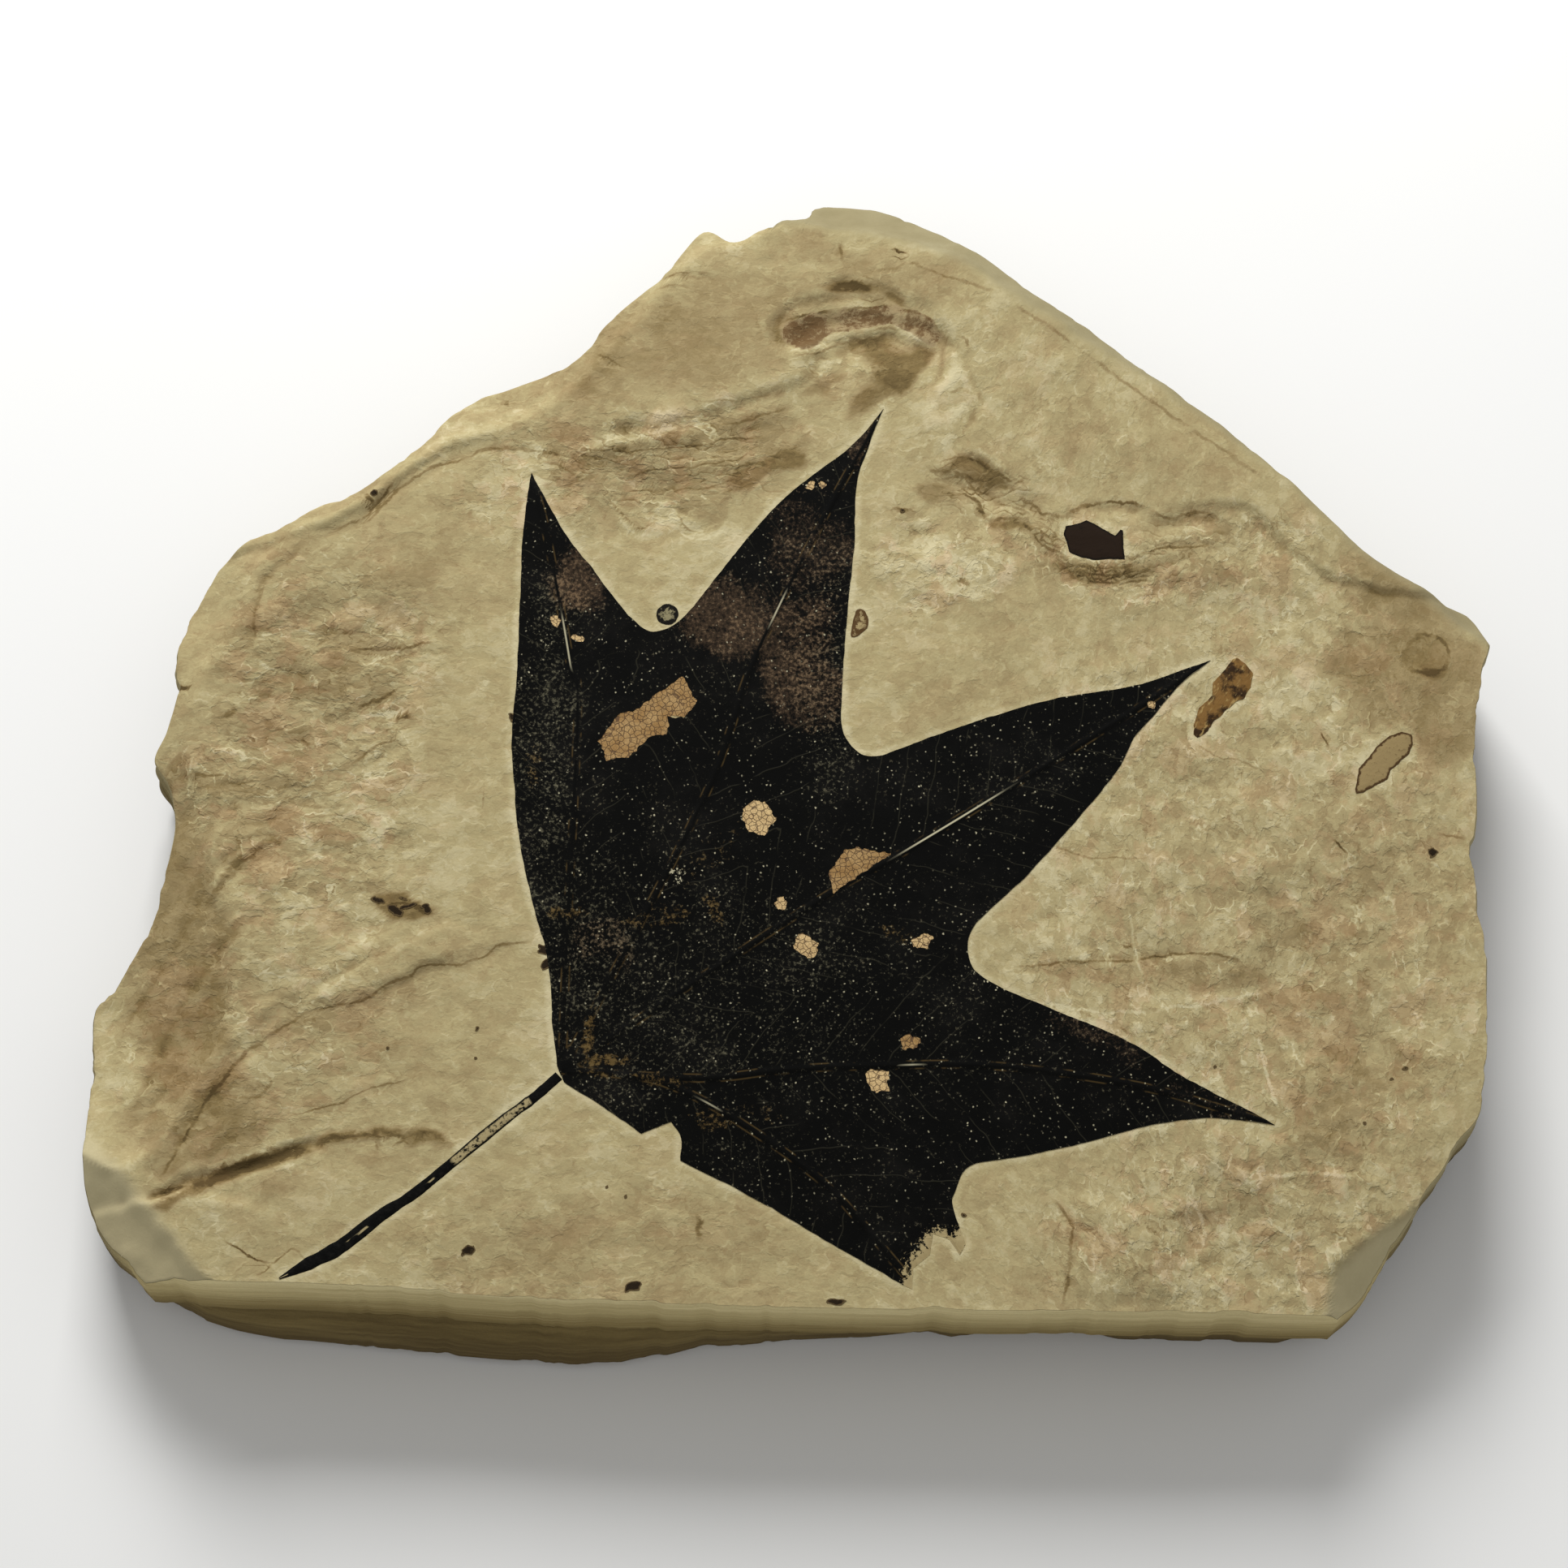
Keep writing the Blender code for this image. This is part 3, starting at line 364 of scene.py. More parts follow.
# Stains, painted shadows under the shelf above the crescent and under the ledges in the pocket, and the
# reddened crescent, each with a clear outline and walked anticlockwise
STAIN_AND_SHADOW_AREAS = [
    ([(16, 119.1), (17, 116.8), (20, 114.5), (22.1, 111.5), (21.7, 108.4), (18.3, 106.2), (16.5, 102.4),
      (15.8, 97.5), (18.2, 98.2), (20.6, 100.1), (24, 102.4), (27.5, 104.3), (30.2, 103.9), (31.6, 106.2),
      (34.1, 109.9), (36.8, 113.8), (38.2, 115.7), (39, 117.6), (35.9, 118.3), (29.4, 119.1), (27.6, 120.4),
      (25.6, 121.7), (18.7, 121.7), (16.3, 120.6)], 1.45),
    ([(20.7, 116.8), (23.1, 113.8), (23.1, 110.3), (24.1, 107.7), (27.5, 106.2), (29.9, 104.3),
      (31.6, 106.2), (32.7, 108.8), (35.5, 112.6), (37.2, 115.7), (35.9, 117.2), (28.3, 117.9),
      (25.6, 120.2), (19.4, 119.9)], 1.9),
    ([(4.9, 103.9), (8.3, 105), (12.5, 106.9), (14.9, 108.8), (13.2, 110.7), (9, 108.6), (6, 106.5),
      (2.9, 103.7)], 1.2),
    # Painted shadow under the shelf's edge above the crescent
    ([(14, 133.5), (18.8, 133.5), (21.6, 133.7), (22.6, 134.7), (19.5, 135.6), (16, 136), (12.6, 135.4),
      (11.2, 134.5)], 1.8),
    # These three are painted shadow in the pocket under its ledges
    ([(39.5, 83.2), (43.6, 83.3), (47.6, 81.4), (51.6, 79.2), (56.5, 79.1), (57.3, 79.6), (55.3, 82.3),
      (52.6, 85.4), (50.2, 87.6), (47.7, 88.1), (43.6, 88.1), (40.7, 85), (35.4, 83.4)], 1.6),
    ([(32.5, 77.4), (35.3, 75.4), (41.4, 75.7), (43.7, 76.5), (42.7, 79.4), (39.4, 80.7), (35, 80),
      (32.5, 79.6)], 1.3),
    ([(50.6, 69.5), (52.2, 68.3), (54.6, 67.4), (57.9, 67), (61.7, 67), (61.5, 68.5), (59.6, 70.5),
      (55.5, 70.9), (52.3, 70.1), (50.2, 70.7)], 1.7),
    ([(67.3, 56.4), (71.7, 54), (74.4, 52), (81.3, 52.2), (83.3, 53.3), (87.4, 53.8), (92.2, 54.4),
      (91.5, 57.7), (87.5, 57.9), (85.1, 58.6), (77.9, 58.6), (73, 59.5), (69.8, 60.8), (66.6, 60.1)], 1.3),
    ([(-56.8, 79.7), (-50, 79.2), (-45, 78.2), (-44.5, 74.2), (-40.8, 71.3), (-36.3, 66.3), (-30.5, 76.2),
      (-25.1, 69.8), (-20.5, 66.8), (-17.8, 65.9), (-14.3, 71.3), (-13.4, 76.7), (-8.9, 78.2), (-2.1, 83.1),
      (6, 84.6), (5.6, 94.1), (0.1, 100.1), (-15.8, 98.1), (-26.2, 94.6), (-35.2, 91.1), (-42.9, 89.6),
      (-54.3, 89.3), (-59.7, 88.6)], 1.0),
    ([(-12.5, 78.2), (-8.4, 78.9), (-2.1, 83.1), (6, 85.1), (5.8, 89.1), (2.4, 91.1), (-4.4, 87.6),
      (-11.2, 85.4), (-14.3, 81.1)], 1.6),
    ([(-54.1, 80.1), (-50, 78.9), (-44.3, 78.7), (-44.6, 82.6), (-49.7, 85.1), (-54.2, 84.6)], 1.2),
    ([(-20.7, 83.4), (-15.2, 83.1), (-13.4, 84.1), (-18, 84.6), (-22.9, 84.9)], 1.5),
    ([(-145.4, -106.3), (-140.9, -104.5), (-129.5, -99.2), (-120.4, -96.4), (-110.8, -92.1),
      (-112.5, -90.1), (-126.3, -93.5), (-137.7, -99.1), (-146.7, -104.7)], 1.7),
    ([(-109, -90.6), (-104.4, -89.8), (-99.7, -89.2), (-95, -89.4), (-90.4, -89.2), (-88, -91),
      (-84.5, -90.4), (-81, -90.6), (-77.5, -90.7), (-80.9, -87.3), (-84.7, -86.1), (-89.3, -86.9),
      (-95.2, -85.5), (-99.8, -86.5), (-104.5, -86.2), (-108.6, -87), (-110.7, -88.7)], 1.5),
    ([(-132.6, -85.3), (-139.3, -90.1), (-144.8, -97.3), (-136.8, -93.7), (-126.4, -92.5), (-118.6, -85.3),
      (-118.9, -78.1), (-126.1, -73.9), (-132, -73.3), (-137.6, -79.3)], 0.95),
    ([(-98.4, -30.6), (-96, -33.2), (-92.3, -35.3), (-86.4, -34.4), (-83.8, -32.8), (-86.5, -30),
      (-92.6, -27.5), (-99.1, -28.1)], 1.8),
    ([(-153, 0), (-148, -1), (-145.5, 1), (-144, 8), (-150, 8)], 1.2),
    ([(153.6, 34), (155, 30.5), (158.5, 29), (162, 30.6), (163.4, 34), (162, 37.5), (158.5, 39),
      (155, 37.6)], 0.55),
    ([(156.6, 29.6), (158, 27.8), (161.5, 28), (162.3, 30), (159.5, 31)], 1.5),
    ([(55, -48), (70, -50), (90, -53), (116, -50), (108, -44.5), (80, -45.5), (60, -46.5)], 0.9),
]
CRESCENT = [(0, 122), (1.5, 119.5), (5, 118), (8, 118.5), (10, 121.5), (14, 123.3), (20, 124), (26, 125),
            (30, 123.5), (34, 121.5), (36, 119.5), (38.5, 119), (39.3, 122), (37, 126.5), (33, 128.3),
            (28, 129.5), (24, 129.7), (18, 129.2), (12, 128.3), (7.5, 127.5), (4, 126.5), (0.3, 125)]
GROUND["red"] = (6, 1.5, 68), [
    (3, 122.5, 12, 10, 0, 1.05), (21, 127, 10, 9, 0, 0.9), (16, 126, 30, 12, 0, 0.66),
    (34, 124, 9, 7, -30, 0.82),
]
GROUND["pink"] = (5, 0.7, 95), [
    (-104, 36.5, 12, 5, -5, 0.42), (-92, 46, 12, 7, 0, 0.3), (-114, 28, 5, 4, 0, 0.4),
    (-138, 52, 6, 3, 30, 0.35), (-60, 80, 5, 5, 0, 0.3), (-47, 79, 8, 3, 0, 0.35),
]
GROUND["pale"] = (9, 3, 65), [
    (41, 100, 9, 19, -12, 0.85), (46, 58, 17, 13, 0, 0.95), (8, 114.5, 10, 3, 20, 0.7),
    (-88, -118, 4, 9, 10, 0.5), (58, 90, 20, 26, -30, 0.3), (-98, 18, 6, 2, 5, 0.9),
    (-116, -13, 4.5, 7, 20, 0.9), (-98, -10, 4.5, 8, -10, 0.8), (-125, 45, 5, 3.5, 0, 0.6),
    (-30, 69, 17, 5.5, 0, 0.95), (-38, 94.5, 22, 3.5, 12, 0.7), (85, 80, 30, 6, 0, 0.4),
    (30, 148, 30, 5, -10, 0.6),
]

GROUND["laminated"] = (9, 3, 69), [
    (-28, 85, 42, 15, 4, 1), (84, 56, 26, 7, 0, 0.9), (50, 78, 20, 9, -25, 0.9), (100, 67, 26, 8, -5, 0.6),
    (-112, 20, 40, 56, -8, 0.45), (20, 112, 18, 14, 0, 0.35), (-120, -60, 44, 36, 30, 0.3),
    (96, -112, 40, 16, 0, 0.4),
]

# Lines on the stone: cracks, stains, pale lips that are partly painted highlight, and painted shadows at the
# foot of scarps and under ledges. For each, how much darker than the ground, or paler where less than zero,
# half the width, and the points
LINES = [
    (0.35, 0.35, STEM_SIDE_EDGE), (0.3, 0.3, FOOT_EDGE),
    (0.2, 0.3, [(63, -15), (70, -18), (80, -19), (90, -19)]),
    (0.2, 0.3, [(100, 11), (105, 7), (110, 6.5), (117, 3.5)]),
    (0.35, 0.35, [(54, -46.5), (65, -45.5), (80, -45), (95, -43), (105, -43.5), (110, -45)]),
    (0.8, 0.5, [(28, 145.8), (29.5, 145), (30.8, 144.3)]),
    (0.4, 0.5, [(14.2, 147), (14.6, 144.5), (14.8, 142.5)]),
    (0.6, 0.35, [(-130, -113.3), (-126.4, -115.3), (-122.8, -117.4), (-119.3, -118.6)]),
    (0.45, 0.3, [(-123.2, -120.9), (-119.8, -120.2), (-117.1, -116.8), (-113.7, -114.5), (-109.9, -118.8)]),
    # Left
    (0.4, 0.45, [(-109, 36), (-97, 35.5), (-85, 37.3)]),
    (-0.2, 0.5, [(-105, 42), (-99, 38.5), (-93, 36.6)]),
    (-0.22, 0.5, [(-131, 33.5), (-126, 30.5), (-119, 30)]),
    (-0.2, 0.4, [(-102, 32), (-97, 30.8), (-94, 29)]), (-0.35, 0.6, [(-104, 18.4), (-97, 19), (-91, 19.8)]),
    # Painted shadow at the foot of the scarp
    (0.4, 0.5, [(-106, 19.8), (-100, 22), (-93, 26)]),
    (0.35, 0.4, [(-106, 5), (-102, 9), (-97, 11), (-92, 11)]), (0.55, 0.9, [(-118.4, 12.4), (-116, 11.6)]),
    (0.65, 0.9, [(-95, 17), (-91.5, 18)]), (0.65, 0.8, [(-150, 26), (-146, 26)]),
    (0.3, 0.4, [(-146, 2.8), (-135, 2.5)]), (0.3, 0.35, [(-123, -6), (-119, -6)]),
    # Painted shade along the scarp
    (0.25, 1.2, [(-118, -12.6), (-125, -15), (-131, -19), (-136, -26), (-140, -32)]),
    (0.75, 0.3, [(-73, -2.8), (-72.8, -5.6)]), (0.3, 0.9, [(-139, 17), (-134, 20.5)]),
    (-0.2, 0.4, [(-144, 9), (-145, 4), (-145.5, 0)]), (0.2, 0.4, [(-128, 55), (-131, 45), (-130, 38)]),
    # Upper left
    (0.3, 0.45, [(-113, 66), (-107, 69.5), (-103, 70), (-99, 76), (-94, 80.5), (-88, 85), (-80, 87),
                 (-75, 90), (-62, 89.5), (-55, 86.5)]),
    (0.35, 0.4, [(-106, 69), (-101, 75), (-97, 81)]), (0.55, 0.7, [(-104.6, 77), (-102, 74.6)]),
    (0.3, 0.4, [(-58, 87.5), (-54, 83), (-46, 80.5)]),
    (-0.15, 0.9, [(-52, 91), (-38, 92), (-28, 95.5), (-18, 98)]),
    (0.28, 0.35, [(-45, 78), (-40, 72), (-36, 68), (-31, 70.5)]),
    (-0.2, 0.5, [(-43, 73), (-38, 67.5), (-32, 66)]), (0.28, 0.35, [(-28, 72.5), (-22, 67), (-15, 68.5)]),
    (-0.2, 0.5, [(-27, 68), (-21, 65), (-14, 67)]),
    (0.3, 0.35, [(-51, 89.6), (-40, 89), (-28, 90), (-15, 92), (-3, 93.5)]),
    (0.25, 0.35, [(-42, 81.5), (-32, 84), (-20, 85), (-8, 88.5)]),
    (0.22, 0.35, [(-30, 78), (-20, 79), (-10, 82)]), (0.22, 0.35, [(-18, 96), (-8, 97.5), (2, 101)]),
    (0.22, 0.3, [(-24, 102), (-12, 102.5), (-2, 105)]), (0.5, 0.7, [(-71, 105.6), (-69.8, 103)]),
    (0.3, 0.35, [(-32, 137.5), (-25, 139), (-17, 138)]), (0.2, 0.35, [(-34, 134), (-28, 135), (-23, 134)]),
    (0.2, 0.35, [(-49, 118), (-44, 114), (-39, 112)]),
    # Crescent and the hollow below it
    (0.22, 0.45, [(21, 138.6), (30, 141), (34, 141), (45, 136.5), (55, 132.6)]),
    (0.28, 0.4, [(1, 114.8), (8, 116), (13, 119.3), (18, 121.2)]),
    (-0.2, 0.5, [(0, 116.6), (7, 117.8), (13, 121)]), (0.35, 0.35, [(20, 122.4), (26, 124), (31, 122.5)]),
    (-0.25, 0.7, [(22, 125.3), (29, 124.3), (33, 122), (37, 119.4)]),
    (0.35, 0.4, [(42.6, 121.2), (46, 120), (47.2, 117)]),
    (0.35, 0.6, [(41.5, 104.8), (45, 106), (48, 104)]),
    (0.6, 0.5, [(-0.5, 125), (4, 126.6), (7.6, 127.6), (13, 128.4)]),
    (0.65, 0.6, [(12, 128.5), (20, 129.4), (29, 129.6)]),
    (0.4, 0.5, [(27, 129.6), (33, 128.3), (37, 126.4), (39.3, 122), (38.4, 118)]),
    # Painted shadow under the shelf's edge above the crescent
    (0.45, 1.2, [(10.5, 133.9), (14, 135.3), (18, 135.5), (23, 134.2)]),
    # Pocket and the ledges right of it; the dark lines under the ledges are painted shadow
    (0.3, 0.4, [(36, 81), (42, 82.5), (47, 81.5), (53, 78)]), (0.3, 0.35, [(44, 80), (49, 79), (54, 76)]),
    (0.3, 0.35, [(52, 75), (57, 74), (61, 72.6)]), (0.3, 0.35, [(62, 69), (66, 65.5), (70, 62.5)]),
    (0.25, 0.3, [(38, 86), (43, 87.6), (48, 86.6), (53, 83)]),
    (0.25, 0.3, [(64, 69.5), (69, 65), (73, 62)]),
    (0.3, 0.45, [(35, 83), (41, 84.3), (45, 83), (50, 80.6)]),
    (0.4, 0.45, [(54, 83), (58, 80.2), (61, 82)]),
    (0.5, 0.6, [(42, 77.6), (46, 77.3), (48.3, 75.5), (49.5, 72), (52, 70.2)]),
    (0.35, 0.5, [(51, 70.3), (56, 70.8), (62, 71)]), (0.3, 0.4, [(57.5, 76.6), (60, 76), (60, 72.5)]),
    (0.4, 0.5, [(60.5, 77), (64, 73), (67, 71.3), (71, 71)]),
    (0.5, 0.5, [(69.5, 71), (73, 73.2), (77, 74.4), (82, 75), (87, 74.6), (92, 72.6)]),
    (0.28, 0.4, [(90, 73.3), (97, 70.5), (102, 72), (109, 70.2)]),
    (0.35, 0.45, [(59.5, 70.8), (63, 65), (67, 62), (71, 60)]),
    (0.35, 0.35, [(67.5, 59), (74, 55.8), (82, 55.3), (91, 57)]),
    (0.35, 0.35, [(69, 57), (76, 53.8), (84, 53.4), (93, 54.2)]),
    (0.25, 0.3, [(72, 58), (80, 57), (88, 58)]), (0.65, 0.9, [(28.6, 72.6), (30.4, 72.6)]),
    (0.75, 0.5, [(41.8, 77.5), (43.2, 77.2)]), (0.5, 1.0, [(42.8, 53.3), (46, 53.8)]),
    (0.35, 0.45, [(85, 58.6), (92, 61.5), (98, 62.5), (107, 63.3)]),
    (0.22, 0.6, [(58, 129.5), (66, 124), (75, 116.5), (90, 104.5), (108, 90), (122, 80)]),
    # Right and bottom
    (0.55, 0.3, [(131.6, 13.4), (133, 9.6)]), (0.55, 0.35, [(132.5, -14.5), (136, -18)]),
    (0.5, 0.5, [(81.5, -41), (83.5, -41.4)]), (0.5, 0.4, [(81.4, -51.2), (82.8, -52)]),
    (0.4, 0.4, [(80, -62), (82, -63)]),
    (0.3, 0.5, [(62, -103), (65, -106), (67, -110), (66, -120), (64.3, -129)]),
    (0.4, 0.9, [(-19.6, -107), (-19.4, -112.6)]), (0.25, 0.5, [(158, -12.5), (166, -14)]),
    (0.3, 0.6, [(153, 34), (154.6, 37.9), (158.5, 39.5), (162.4, 37.9), (164, 34), (162.4, 30.1),
                (158.5, 28.5), (154.6, 30.1), (153, 34)]),
    (0.45, 1.8, [(-149, -103), (-140, -101.5), (-130, -96), (-121, -93), (-110, -90)]),
    (0.45, 0.5, [(-96, -30.6), (-92, -30.2), (-88, -31.5), (-85.5, -34)]),
    (0.28, 1.3, [(-112, -89.6), (-105, -88), (-98, -88), (-95, -86.5), (-90, -87), (-85, -86.5),
                 (-78, -89)]),
    (0.35, 0.4, [(-92, -90.6), (-90, -89), (-87.6, -90.8)]), (0.3, 0.3, [(-96, -89.5), (-95.4, -91.5)]),
    (0.25, 0.5, [(-146, -99), (-137, -81), (-127, -67), (-112, -57)]),
    (0.2, 0.5, [(-133, -78), (-126, -79), (-121, -75), (-125, -72)]),
    (-0.18, 0.4, [(83, -30), (84, -42), (86, -50)]), (-0.18, 0.5, [(112, -62), (114, -74), (117, -84)]),
    (-0.18, 0.5, [(104, -100), (120, -97), (134, -98)]),
    (-0.18, 0.5, [(56, -54), (75, -58), (98, -56), (116, -52)]),
    (-0.18, 0.5, [(92, -100), (98, -108), (96, -118)]),
    (-0.18, 0.4, [(112, -108), (120, -114), (118, -122)]),
]


def srgb(red, green, blue):
    """A colour of 0 to 255 as it shows on screen, in the linear values that shaders use."""
    shares = np.array([red, green, blue]) / 255
    return tuple(np.where(shares > 0.04, ((shares + 0.055) / 1.055) ** 2.4, shares / 12.92).tolist())


def turned(degrees):
    """The matrix that turns rows of plan points by this angle."""
    cos, sin = math.cos(math.radians(degrees)), math.sin(math.radians(degrees))
    return np.array([[cos, sin], [-sin, cos]])


def ease(share):
    """3s^2 - 2s^3, with s held between 0 and 1: no corner at either end."""
    share = np.clip(share, 0, 1)
    return share * share * (3 - 2 * share)


def smooth_path(points, steps):
    """A Catmull-Rom curve through the points, with this many steps in each span."""
    p = np.array(points, float)
    p = np.vstack([2 * p[0] - p[1], p, 2 * p[-1] - p[-2]])
    t = np.linspace(0, 1, steps, endpoint=False)[:, None]
    spans = [b + 0.5 * t * ((c - a) + t * ((2 * a - 5 * b + 4 * c - d) + t * (3 * b - a - 3 * c + d)))
             for a, b, c, d in zip(p, p[1:], p[2:], p[3:])]
    return np.vstack(spans + [p[-2:-1]])


def closed_path(points, steps):
    """The same curve through the points and back to the first."""
    ring = list(points[-1:]) + list(points) + list(points[:2])
    return smooth_path(ring, steps)[steps:-steps - 1]


def closed(ring):
    """The ring with its first point again at its end."""
    return np.vstack([ring, ring[:1]])


def curve(points):
    """The curve through an open line of a data list."""
    return smooth_path(points, 3)


def loop(points):
    """The curve through a closed outline of a data list, back to its first point."""
    return closed(closed_path(points, 3))


def distances(path):
    """How far along the path each of its points lies."""
    return np.concatenate([[0], np.cumsum(np.hypot(*np.diff(path, axis=0).T))])


def places_on(path, wanted):
    """The places at these distances along the path."""
    run = distances(path)
    return np.stack([np.interp(wanted, run, path[:, axis]) for axis in (0, 1)], axis=1)


def to_the_left(steps):
    """Unit vectors at a right angle to the steps, on their left."""
    return np.stack([-steps[:, 1], steps[:, 0]], axis=1) / np.hypot(*steps.T)[:, None]


def along_path(points, path):
    """How far each point lies from the path, less than zero on its right, and how far along the path its
    nearest place is. Where two segments share the nearest place, the one seen more from the side counts."""
    nearest, left, run = np.full(len(points), np.inf), np.ones(len(points)), np.zeros(len(points))
    travelled = 0.0
    for start, step in zip(path[:-1], np.diff(path, axis=0)):
        length = math.hypot(*step)
        reach = points - start
        share = np.clip(reach @ step / length ** 2, 0, 1)
        gap = np.hypot(*(reach - share[:, None] * step).T)
        off_line = (step[0] * reach[:, 1] - step[1] * reach[:, 0]) / length
        nearer = gap - 1e-6 * np.abs(off_line) < nearest - 1e-6 * np.abs(left)
        nearest, left = np.where(nearer, gap, nearest), np.where(nearer, off_line, left)
        run = np.where(nearer, travelled + share * length, run)
        travelled += length
    return np.copysign(nearest, left), run


def left_of(points, path):
    return along_path(points, path)[0]


def value_noise(place, seed):
    """A random height at each corner of a unit mesh, blended with eased shares across each square."""
    heights = np.random.default_rng(seed).uniform(-1, 1, (NOISE_MESH, NOISE_MESH))
    corner = np.floor(place)
    x, y = corner.astype(int).T % NOISE_MESH
    next_x, next_y = (x + 1) % NOISE_MESH, (y + 1) % NOISE_MESH
    across, up = ease(place - corner).T
    low = heights[x, y] * (1 - across) + heights[next_x, y] * across
    high = heights[x, next_y] * (1 - across) + heights[next_x, next_y] * across
    return low * (1 - up) + high * up


def fractal(points, size, seed, octaves=4, gain=0.55):
    """Layers of noise, about -1 to 1: each is half the size of the one before, turned and weaker by the
    gain."""
    place = points / size
    weights = gain ** np.arange(octaves)
    layers = [weight * value_noise(place @ turned(LAYER_TURN * k) * 2 ** k, seed + k)
              for k, weight in enumerate(weights)]
    return LAYERS_REACH * sum(layers) / weights.sum()


def ragged(points, size, reach, seed):
    """The points pushed about by two noises."""
    return points + reach * np.stack([fractal(points, size, seed), fractal(points, size, seed + 50)], axis=1)


def terraces(points, size, layers, seed):
    """Flaked layers: noise cut into level treads, with a short eased riser between one and the next."""
    rise = layers * fractal(points, size, seed, 3)
    tread = np.floor(rise)
    return tread + ease((rise - tread - 1 + RISER) / RISER)


def patches(points, spots):
    """The strongest of some turned ellipses at each point: full in the inner half, eased to 0 at the rim."""
    share = np.zeros(len(points))
    for x, y, half_x, half_y, turn, strength in spots:
        local = (points - (x, y)) @ turned(-turn) / (half_x, half_y)
        share = np.maximum(share, strength * ease(2 - 2 * np.hypot(*local.T)))
    return share


def metres(plan, height):
    """Plan and height in millimetres to places in the frame."""
    return np.column_stack([(plan - PLAN_MIDDLE) * MM, height * MM])


def leaf_outline(steps):
    """The blade's runs joined anticlockwise, each corner kept sharp."""
    return np.vstack([smooth_path([before[-1], *run], steps)[:-1]
                      for before, run in zip(LEAF_RUNS[-1:] + LEAF_RUNS, LEAF_RUNS)])[::-1]


def stem_outline():
    """The stem's two edges, half its width either side of the middle line."""
    middle = curve(STEM_LINE)
    line, half = middle[:, :2], middle[:, 2:] / 2
    aside = half * to_the_left(np.gradient(line, axis=0))
    return np.vstack([line - aside, (line + aside)[::-1]])


def unit_circle(sides):
    """A ring of radius 1 round the origin: cos t, sin t."""
    turn = np.linspace(0, 2 * np.pi, sides, endpoint=False)
    return np.stack([np.cos(turn), np.sin(turn)], axis=1)


def round_seed_outline(sides):
    return ROUND_SEED_MIDDLE + ROUND_SEED_RADIUS * unit_circle(sides)


def film_distance(points):
    """How far each point lies outside the nearest film's outline."""
    smalls = [LEAF_SCRAP, SEED_HUSK, WINGED_SEED, HUSK_FLAKE, round_seed_outline(20)]
    outlines = [leaf_outline(2), stem_outline()] + [np.array(outline, float) for outline in smalls]
    return np.min([-left_of(points, closed(outline)) for outline in outlines], axis=0)


def ground(points):
    """Height of the level ground that the films lie on: the leaf plane with slow waves of 0.1 mm along both
    axes, a sine times a sine, and one of 0.06 mm aslant."""
    x, y = points.T
    return LEAF_PLANE + 0.1 * np.sin(x / 13 + 1.7) * np.sin(y / 17 - 0.6) + 0.06 * np.sin((x + y) / 7)


# The slab's surface


def side_line(side, seed):
    """A side's curve in fine steps with small chips out of it: where noise is above 0, the edge steps back
    by up to a millimetre, and not at its ends. Its places are given against the share of its length."""
    path = smooth_path(side, 8)
    length = distances(path)[-1]
    fine = np.linspace(0, length, int(length / CHIP_STEP))
    line = places_on(path, fine)
    chips = np.clip(fractal(np.column_stack([fine, 0 * fine]), CHIP_SIZE, seed), 0, 1)
    chips *= ease(fine / CHIP_FREE_END) * ease((length - fine) / CHIP_FREE_END)
    inward = to_the_left(np.gradient(line, axis=0))
    turn = np.sign(((PLAN_MIDDLE - line) * inward).sum(axis=1).mean())
    return fine / length, line + turn * inward * chips[:, None]


def top_plan(columns, rows):
    """A Coons patch: the four sides blended over the unit square, less the corners counted twice."""
    grid = np.meshgrid(np.linspace(0, 1, columns), np.linspace(0, 1, rows))
    u, v = (share.reshape(-1, 1) for share in grid)

    def at(side, seed, share):
        run, line = side_line(side, seed)
        return np.stack([np.interp(share[:, 0], run, line[:, axis]) for axis in (0, 1)], axis=1)

    across = (1 - v) * at(FRONT_SIDE, 1, u) + v * at(BACK_SIDE, 2, u)
    upward = (1 - u) * at(LEFT_SIDE, 3, v) + u * at(RIGHT_SIDE, 4, v)
    corners = ((1 - u) * (1 - v) * FRONT_SIDE[0] + u * (1 - v) * FRONT_SIDE[-1]
               + (1 - u) * v * BACK_SIDE[0] + u * v * BACK_SIDE[-1])
    return across + upward - corners


def roll_off(points):
    """The steepest fall past the crest lines there, and how much of it is on a smooth worn bevel."""
    fall, worn = np.zeros(len(points)), np.zeros(len(points))
    for crest, slope, smooth in ROLL_OFFS:
        past = left_of(points, curve(crest)) + CREST_WOBBLE * fractal(points, 9, 99, 3)
        worn = np.maximum(worn, smooth * ease((past + 1) / 4))
        fall = np.maximum(fall, slope * past * ease(past / FALL_START))
    return fall, worn


def tapered(points, line):
    """The signed distance to the line's curve, and an ease to 0 over the last 5 mm at both its ends."""
    path = curve(line)
    left, run = along_path(points, path)
    return left, ease(run / LINE_END) * ease((distances(path)[-1] - run) / LINE_END)


def scarp(points, edge, lift, drop, reach):
    """A step across the edge that dies away to both sides and at the edge's ends: the lift on its left and
    the drop on its right, each times an eased fade with the distance."""
    left, ends = tapered(points, edge)
    up = lift * ease(0.5 + left / LIFT_WIDTH) * ease(1 - left / reach)
    down = drop * ease((0.6 - left) / (1 + DROP_WIDTH * drop)) * ease(1 + left / reach)
    return ends * (up - down)


